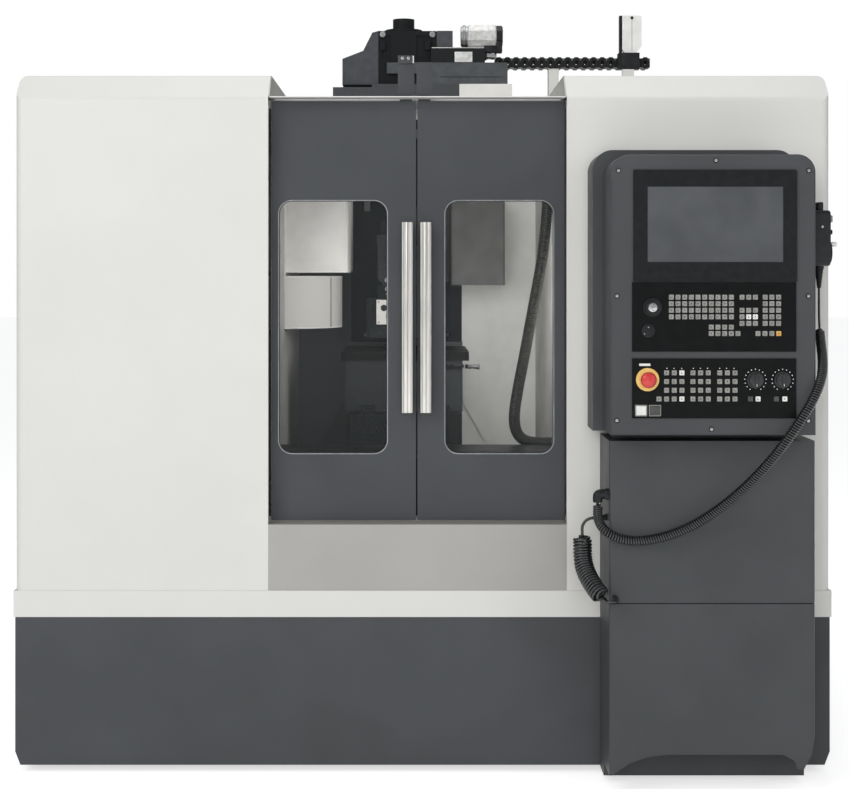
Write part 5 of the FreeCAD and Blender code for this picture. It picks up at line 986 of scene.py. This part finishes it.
def build_head_fittings():
    """Corner screws, a port and hose fittings on the head's coolant block."""
    bm = bmesh.new()
    for x in (-133, -37):
        for z in (1199, 1261):
            put_screw(bm, spot(x, 734, z), TO_FRONT, 0.0034)
    put_turned(bm, spot(-104, 734, 1216), TO_FRONT, [(0.0060, 0), (0.0060, 0.0050), (0.0046, 0.0062)], 6)
    for x, z in ((-108, 1330), (-106, 1302), (-103, 1286)):
        put_turned(bm, spot(x, 780 if z > 1312 else 760, z), TO_FRONT,
                   [(0.0085, 0), (0.0085, 0.0090), (0.0062, 0.0095), (0.0062, 0.0170), (0.0050, 0.0180)], 6)
    finished("head_fittings", bm, "zinc_plated_steel", "head")
    bm = put_turned(bmesh.new(), spot(-117, 734, 1243), TO_FRONT,
                    [(0.0100, 0), (0.0100, 0.0010), (0.0088, 0.0016), (0.0060, 0.0004)], 32)
    finished("head_port", bm, "moulded_rubber", "head")


def build_wash_nozzle():
    """A jointed coolant pipe with a flared tip, held on the saddle's front under the table."""
    bm = bmesh.new()
    x, slope = 66.0, (1, 0, -0.04)
    for index in range(7):
        wide = 5.4 if index % 2 else 6.6
        put_turned(bm, spot(x, 592, 1072 - index * 0.5), slope,
                   [(wide * 0.55 * MM, 0), (wide * MM, 0.0022), (wide * MM, 0.0068),
                    (wide * 0.6 * MM, 0.0088)], 20)
        x += 11.5 if index % 2 else 10.0
    finished("wash_pipe", bm, "black_moulded_plastic", "table")
    bm = bmesh.new()
    put_turned(bm, spot(x - 1, 592, 1068.5), slope,
               [(0.0050, 0), (0.0068, 0.0014), (0.0068, 0.0100), (0.0050, 0.0112), (0.0050, 0.0150),
                (0.0062, 0.0170), (0.0082, 0.0350), (0.0076, 0.0352), (0.0050, 0.0200)], 28)
    put_block(bm, spot(56, 588, 1060), spot(68, 606, 1084), 0.0015)
    put_turned(bm, spot(62, 588.2, 1080), TO_FRONT, [(0.0030, 0), (0.0030, 0.0016), (0.0020, 0.0022)], 16)
    finished("wash_nozzle", bm, "zinc_plated_steel", "table")


DRUM_AXIS = (-537, 855)  # x and depth, in millimetres


def build_changer_trims():
    """The folded edges of the tool changer's housing and drum cover, painted lighter than the cover as a painted
    highlight, and the cover's seam.
    """
    bm = bmesh.new()
    right, front, bottom = -225, 600, 1352
    put_block(bm, spot(-660, front - 0.7, bottom + 0.4), spot(right - 6, front + 1.0, bottom + 3.6), 0.0003)
    put_block(bm, spot(right - 3.4, front - 0.7, bottom + 6), spot(right - 0.8, front + 6.0, 1694), 0.0003)
    (across, deep), radius = DRUM_AXIS, 286
    for z in (1183.4, 1338.8):
        rings = []
        for index in range(80):
            angle = math.radians(-150 + 145 * index / 79)
            out = Vector((math.cos(angle), math.sin(angle)))
            ring = []
            for corner in range(8):
                turn = math.tau * corner / 8
                reach = radius + 0.3 + 1.5 * math.cos(turn)
                ring.append(spot(across + out.x * reach, deep + out.y * reach, z + 1.5 * math.sin(turn)))
            rings.append(ring)
        put_rings(bm, rings)
    finished("changer_edges", bm, "fold_highlight_powder_coat")
    bm = bmesh.new()
    rings = []
    for z in (1182, 1341):
        ring = []
        for reach, shift in ((286.9, -0.28), (286.9, 0.28), (285.8, 0.28), (285.8, -0.28)):
            angle = math.radians(-26.4 + shift)
            ring.append(spot(across + reach * math.cos(angle), deep + reach * math.sin(angle), z))
        rings.append(ring)
    put_rings(bm, rings)
    finished("drum_seam", bm, "moulded_rubber", smooth=0)


UNIT_DEPTH = -261  # the depth of the hand-held unit's middle, in millimetres


def toothed(x, height, reach, teeth, count):
    """A ring of small teeth round an axis that points out of the hand-held unit's side."""
    ring = []
    for index in range(count):
        out, turn = reach + (teeth if index % 2 else -teeth), math.tau * index / count
        ring.append(spot(x, UNIT_DEPTH + out * math.cos(turn), height + out * math.sin(turn)))
    return ring


def build_handheld():
    """The hand-held unit: its moulded body and hook, a screw, the wheel with its crank grip and the dial."""
    rings = []
    for x, inset in ((985.1, 0.0), (1031.4, 0.0), (1034.6, 1.2), (1036.4, 3.2), (1037.0, 6.0)):
        outline = rounded((-300 + inset, 1365 + inset), (-222 - inset, 1507 - inset), 11, 6)
        rings.append([spot(x, depth, z) for depth, z in outline])
    bm = put_rings(bmesh.new(), rings)
    put_block(bm, spot(1006.5, -276, 1500), spot(1022.5, -246, 1528.5), 0.0035, 3)
    put_turned(bm, spot(1036, UNIT_DEPTH, 1452), TO_RIGHT,
               [(0.0078, 0), (0.0078, 0.0020), (0.0062, 0.0026), (0.0062, 0.0104), (0.0050, 0.0118)], 24)
    finished("unit_body", bm, "black_moulded_plastic", smooth=40, replaced=["handheld_body"])
    bm = bmesh.new()
    put_screw(bm, spot(1014.4, -300, 1465), TO_FRONT, 0.0036)
    finished("unit_screw", bm, "zinc_plated_steel")
    bm = put_rings(bmesh.new(), [toothed(x, 1400, reach, teeth, 96) for x, reach, teeth in (
        (1037.3, 26.5, 0.0), (1038.0, 27.6, 0.6), (1042.0, 27.6, 0.6), (1043.0, 26.4, 0.3),
        (1043.3, 22.0, 0.0), (1042.2, 20.5, 0.0), (1042.2, 8.0, 0.0), (1043.6, 7.0, 0.0))])
    finished("wheel_rim", bm, "black_moulded_plastic", "handwheel", replaced=["handwheel"])
    bm = put_turned(bmesh.new(), spot(1042, UNIT_DEPTH, 1421), TO_RIGHT,
                    [(0.0032, 0), (0.0032, 0.0022), (0.0052, 0.0028), (0.0062, 0.0060), (0.0058, 0.0120),
                     (0.0062, 0.0150), (0.0050, 0.0169)], 28)
    finished("wheel_crank", bm, "pale_key_plastic", "handwheel")
    bm = put_rings(bmesh.new(), [toothed(x, 1486, reach, 0.35, 36)
                                 for x, reach in ((1037.3, 9.8), (1044.5, 9.6), (1045.6, 8.6))])
    put_block(bm, spot(1045, -262.4, 1477.6), spot(1049, -259.6, 1494.4), 0.0009)
    finished("axis_dial", bm, "grey_key_plastic", "axis_knob", replaced=["axis_knob"])


def build_rear_latch():
    """The swing handle that lies in the rear door's recess."""
    bm = put_block(bmesh.new(), spot(337, 1994.5, 1108), spot(353, 2003.5, 1180), 0.0025)
    put_turned(bm, spot(345, 1993.0, 1172), TO_BACK, [(0.0095, 0), (0.0095, 0.0100), (0.0085, 0.0112)], 28)
    finished("rear_handle", bm, "black_moulded_plastic", "cabinet_door")


# ---------------------------------------------------------------- stage

def build_stage(stage):
    """A pale floor, an even room, five soft lamps and the camera at the photograph's place."""
    scene = bpy.context.scene
    scene.view_settings.view_transform = "Standard"

    material = bpy.data.materials.new("studio_floor")
    material.use_nodes = True
    tree = material.node_tree
    tree.nodes.clear()
    matt = add_node(tree, "ShaderNodeBsdfDiffuse", {"Color": linear(stage.floor_hex)})
    glow = add_node(tree, "ShaderNodeEmission", {"Color": linear("#ffffff"), "Strength": 0.62})
    both = add_node(tree, "ShaderNodeAddShader", {0: matt.outputs[0], 1: glow.outputs[0]})
    path = add_node(tree, "ShaderNodeLightPath")
    seen = add_node(tree, "ShaderNodeMath",
                    {0: path.outputs["Is Camera Ray"], 1: path.outputs["Is Glossy Ray"]},
                    operation="ADD", use_clamp=True)
    seen = add_node(tree, "ShaderNodeMath", {0: seen.outputs[0], 1: path.outputs["Is Transmission Ray"]},
                    operation="ADD", use_clamp=True)
    mix = add_node(tree, "ShaderNodeMixShader", {0: seen.outputs[0], 1: matt.outputs[0], 2: both.outputs[0]})
    add_node(tree, "ShaderNodeOutputMaterial", {"Surface": mix.outputs[0]})
    mesh = bpy.data.meshes.new("studio_floor")
    reach = 60.0
    mesh.from_pydata([(-reach, -reach, 0), (reach, -reach, 0), (reach, reach, 0), (-reach, reach, 0)],
                     [], [(0, 1, 2, 3)])
    mesh.materials.append(material)
    floor = bpy.data.objects.new("studio_floor", mesh)
    scene.collection.objects.link(floor)

    world = bpy.data.worlds.new("studio_world")
    scene.world = world
    world.use_nodes = True
    tree = world.node_tree
    tree.nodes.clear()
    path = add_node(tree, "ShaderNodeLightPath")
    seen = add_node(tree, "ShaderNodeMath",
                    {0: path.outputs["Is Camera Ray"], 1: path.outputs["Is Transmission Ray"]},
                    operation="ADD", use_clamp=True)
    soft = add_node(tree, "ShaderNodeBackground", {"Color": linear("#f4f6fa"), "Strength": stage.sky_level})
    clear = add_node(tree, "ShaderNodeBackground", {"Color": linear("#ffffff"), "Strength": 1.0})
    mix = add_node(tree, "ShaderNodeMixShader", {0: seen.outputs[0], 1: soft.outputs[0], 2: clear.outputs[0]})
    add_node(tree, "ShaderNodeOutputWorld", {"Surface": mix.outputs[0]})

    # The photograph's light is flat: a wide soft lamp beside the camera, one on each side and one on top. A
    # small one stands for the lamp inside the work area. Each has its place, aim, size, power, and whether
    # glossy surfaces mirror it.
    for name, place, aim, size, power, mirrored in (
            ("front_light", (0.0, FRONT - 5.8, 1.75), (0.0, FRONT, 1.15), 2.4, stage.front_power, False),
            ("key_light", (-3.2, FRONT - 4.6, 3.9), (0.1, FRONT, 1.0), 3.2, stage.key_power, True),
            ("fill_light", (3.6, FRONT - 4.2, 2.3), (0.2, FRONT, 1.0), 3.0, stage.fill_power, True),
            ("top_light", (0.0, 0.3, 5.2), (0.0, 0.0, 1.0), 3.5, stage.top_power, True),
            ("work_light", (0.18, FRONT + 0.28, 1.30), (0.12, FRONT + 1.25, 1.20), 0.35, stage.work_power,
             False)):
        lamp = bpy.data.lights.new(name, "AREA")
        lamp.size, lamp.energy = size, power
        light = bpy.data.objects.new(name, lamp)
        light.location = place
        light.rotation_euler = (Vector(aim) - Vector(place)).to_track_quat("-Z", "Y").to_euler()
        light.visible_camera = False
        light.visible_glossy = mirrored
        scene.collection.objects.link(light)

    # The photograph was taken square to the front. Its vanishing point lies 8.5 pixels left of its middle and
    # 114.5 above it, of 849 across.
    view = bpy.data.cameras.new("camera")
    view.lens = stage.lens
    view.shift_x, view.shift_y = 8.5 / 849, -114.5 / 849
    camera = bpy.data.objects.new("camera", view)
    camera.location = (-0.0175, FRONT - 5.0, 1.3295)
    camera.rotation_euler = (math.radians(90), 0, 0)
    scene.collection.objects.link(camera)
    scene.camera = camera


# ---------------------------------------------------------------- add-on

def lamp_power(name, description, watts):
    """A setting for a lamp."""
    return bpy.props.FloatProperty(name=name, description=description, default=watts, min=0, unit="POWER")


def hex_colour(name, description, colour):
    """A setting for a colour."""
    return bpy.props.StringProperty(name=name, description=description + ", as sRGB hex", default=colour)


def metres(name, description, length, least):
    """A setting for a length."""
    return bpy.props.FloatProperty(name=name, description=description, default=length, min=least,
                                   unit="LENGTH")


class MachineStageSettings(bpy.types.PropertyGroup):
    """Camera, lamps and floor."""
    lens: bpy.props.FloatProperty(name="Lens", description="Focal length of the camera", default=78.5,
                                  min=20, max=200, unit="CAMERA")
    floor_hex: hex_colour("Floor", "Floor colour", "#f2f2f0")
    sky_level: bpy.props.FloatProperty(name="Sky", description="Strength of the room's light", default=0.40,
                                       min=0)
    front_power: lamp_power("Front", "Lamp beside the camera", 114)
    key_power: lamp_power("Key", "Lamp at the front left", 112)
    fill_power: lamp_power("Fill", "Lamp at the front right", 24)
    top_power: lamp_power("Top", "Lamp over the machine", 68)
    work_power: lamp_power("Work light", "Light inside the work area", 3.6)


class MachinePaintSettings(bpy.types.PropertyGroup):
    """Main colours."""
    cover_hex: hex_colour("Covers", "Light covers", "#d9d8d4")
    door_hex: hex_colour("Doors", "Sliding doors", "#4c4e51")
    pendant_hex: hex_colour("Pendant", "Pendant and cabinet", "#494b4d")
    skirt_hex: hex_colour("Skirt", "Skirt round the base", "#4c4e51")
    apron_hex: hex_colour("Apron", "Apron below the doors", "#a9a7a3")


class MachineFittingSettings(bpy.types.PropertyGroup):
    """Sizes of small fittings."""
    screw_radius: metres("Screw radius", "Radius of a cover screw's head", 0.0045, 0.001)
    curl_count: bpy.props.IntProperty(name="Curls", description="Turns of the curly cord", default=152,
                                      min=10)
    curl_radius: metres("Curl radius", "From the route to the wire's middle", 0.0100, 0.003)
    curl_wire: metres("Curl wire", "Radius of the curly cord's wire", 0.0030, 0.0005)
    coil_count: bpy.props.IntProperty(name="Coils", description="Loops of the air line", default=22, min=2)
    coil_radius: metres("Coil radius", "From the route to the hose's middle", 0.0210, 0.005)
    coil_wire: metres("Air hose", "Radius of the air hose", 0.0039, 0.001)
    conduit_radius: metres("Conduit", "Radius of the ribbed conduit", 0.0170, 0.004)


class MACHINE_OT_paint(bpy.types.Operator):
    """Makes every finish and puts it on the frame's nodes"""
    bl_idname = "machine.paint"
    bl_label = "Paint the machine"

    def execute(self, context):
        make_paints(context.scene.machine_paint)
        paint_nodes()
        return {"FINISHED"}


class MACHINE_OT_curly_cord(bpy.types.Operator):
    """Winds the hand-held unit's curly cord"""
    bl_idname = "machine.curly_cord"
    bl_label = "Curly cord"

    def execute(self, context):
        build_curly_cord(context.scene.machine_fittings)
        return {"FINISHED"}


class MACHINE_OT_air_line(bpy.types.Operator):
    """Winds the coiled air line"""
    bl_idname = "machine.air_line"
    bl_label = "Coiled air line"

    def execute(self, context):
        build_air_line(context.scene.machine_fittings)
        return {"FINISHED"}


class MACHINE_OT_conduit(bpy.types.Operator):
    """Makes the ribbed conduit in the work area"""
    bl_idname = "machine.conduit"
    bl_label = "Ribbed conduit"

    def execute(self, context):
        build_conduit(context.scene.machine_fittings)
        return {"FINISHED"}


class MACHINE_OT_glands(bpy.types.Operator):
    """Makes the strain relief, the gland and the hose fittings"""
    bl_idname = "machine.glands"
    bl_label = "Glands and fittings"

    def execute(self, context):
        build_glands()
        return {"FINISHED"}


class MACHINE_OT_doors(bpy.types.Operator):
    """Fits the doors with window seals, highlight beads, pull bars and hangers"""
    bl_idname = "machine.doors"
    bl_label = "Door fittings"

    def execute(self, context):
        build_window_trims()
        build_handles()
        build_hangers()
        return {"FINISHED"}


class MACHINE_OT_pendant(bpy.types.Operator):
    """Fits the pendant's screws, rings, frames, scales and indicators"""
    bl_idname = "machine.pendant"
    bl_label = "Pendant trims"

    def execute(self, context):
        build_pendant_screws(context.scene.machine_fittings)
        build_panel_trims()
        return {"FINISHED"}


class MACHINE_OT_keys(bpy.types.Operator):
    """Makes the panels' keys with their marks"""
    bl_idname = "machine.keys"
    bl_label = "Keys"

    def execute(self, context):
        build_keys()
        return {"FINISHED"}


class MACHINE_OT_controls(bpy.types.Operator):
    """Makes the stop button, the push buttons, the dials and the lock"""
    bl_idname = "machine.controls"
    bl_label = "Moving controls"

    def execute(self, context):
        build_buttons()
        build_lock()
        return {"FINISHED"}


class MACHINE_OT_top_drive(bpy.types.Operator):
    """Makes the servo motor, the casting's bolts, the lamp's trims and the chain's lines and painted glints"""
    bl_idname = "machine.top_drive"
    bl_label = "Drive and lamp"

    def execute(self, context):
        build_top_drive()
        build_lamp()
        return {"FINISHED"}


class MACHINE_OT_work_area(bpy.types.Operator):
    """Fits the head, the saddle and the tool changer with their small parts"""
    bl_idname = "machine.work_area"
    bl_label = "Work area fittings"

    def execute(self, context):
        build_head_fittings()
        build_wash_nozzle()
        build_changer_trims()
        return {"FINISHED"}


class MACHINE_OT_handheld(bpy.types.Operator):
    """Makes the hand-held unit's body, wheel, crank grip and dial"""
    bl_idname = "machine.handheld"
    bl_label = "Hand-held unit"

    def execute(self, context):
        build_handheld()
        return {"FINISHED"}


class MACHINE_OT_rear(bpy.types.Operator):
    """Makes the rear door's handle"""
    bl_idname = "machine.rear"
    bl_label = "Rear door handle"

    def execute(self, context):
        build_rear_latch()
        return {"FINISHED"}


class MACHINE_OT_stage(bpy.types.Operator):
    """Sets up the floor, the lamps and the camera"""
    bl_idname = "machine.stage"
    bl_label = "Set the stage"

    def execute(self, context):
        build_stage(context.scene.machine_stage)
        return {"FINISHED"}


class MACHINE_PT_panel(bpy.types.Panel):
    """Lists the steps and the settings"""
    bl_label = "Machining centre"
    bl_idname = "MACHINE_PT_panel"
    bl_space_type = "VIEW_3D"
    bl_region_type = "UI"
    bl_category = "Machine"

    def draw(self, context):
        for operator in STEPS:
            self.layout.operator(operator.bl_idname)
        for group in (getattr(context.scene, name) for name in GROUPS):
            box = self.layout.box()
            for key in group.bl_rna.properties.keys():
                if key not in ("rna_type", "name"):
                    box.prop(group, key)


GROUPS = {"machine_stage": MachineStageSettings, "machine_paint": MachinePaintSettings,
          "machine_fittings": MachineFittingSettings}
STEPS = [MACHINE_OT_paint, MACHINE_OT_curly_cord, MACHINE_OT_air_line, MACHINE_OT_conduit, MACHINE_OT_glands,
         MACHINE_OT_doors, MACHINE_OT_pendant, MACHINE_OT_keys, MACHINE_OT_controls, MACHINE_OT_top_drive,
         MACHINE_OT_work_area, MACHINE_OT_handheld, MACHINE_OT_rear, MACHINE_OT_stage]
CLASSES = [*GROUPS.values(), *STEPS, MACHINE_PT_panel]


def register():
    """Adds the settings, the steps and the panel to Blender."""
    for cls in CLASSES:
        bpy.utils.register_class(cls)
    for name, group in GROUPS.items():
        setattr(bpy.types.Scene, name, bpy.props.PointerProperty(type=group))


def unregister():
    """Takes them away again."""
    for name in GROUPS:
        delattr(bpy.types.Scene, name)
    for cls in reversed(CLASSES):
        bpy.utils.unregister_class(cls)


def main():
    """Runs every step in order."""
    register()
    for operator in STEPS:
        area, name = operator.bl_idname.split(".")
        getattr(getattr(bpy.ops, area), name)()


if __name__ == "__main__":
    main()
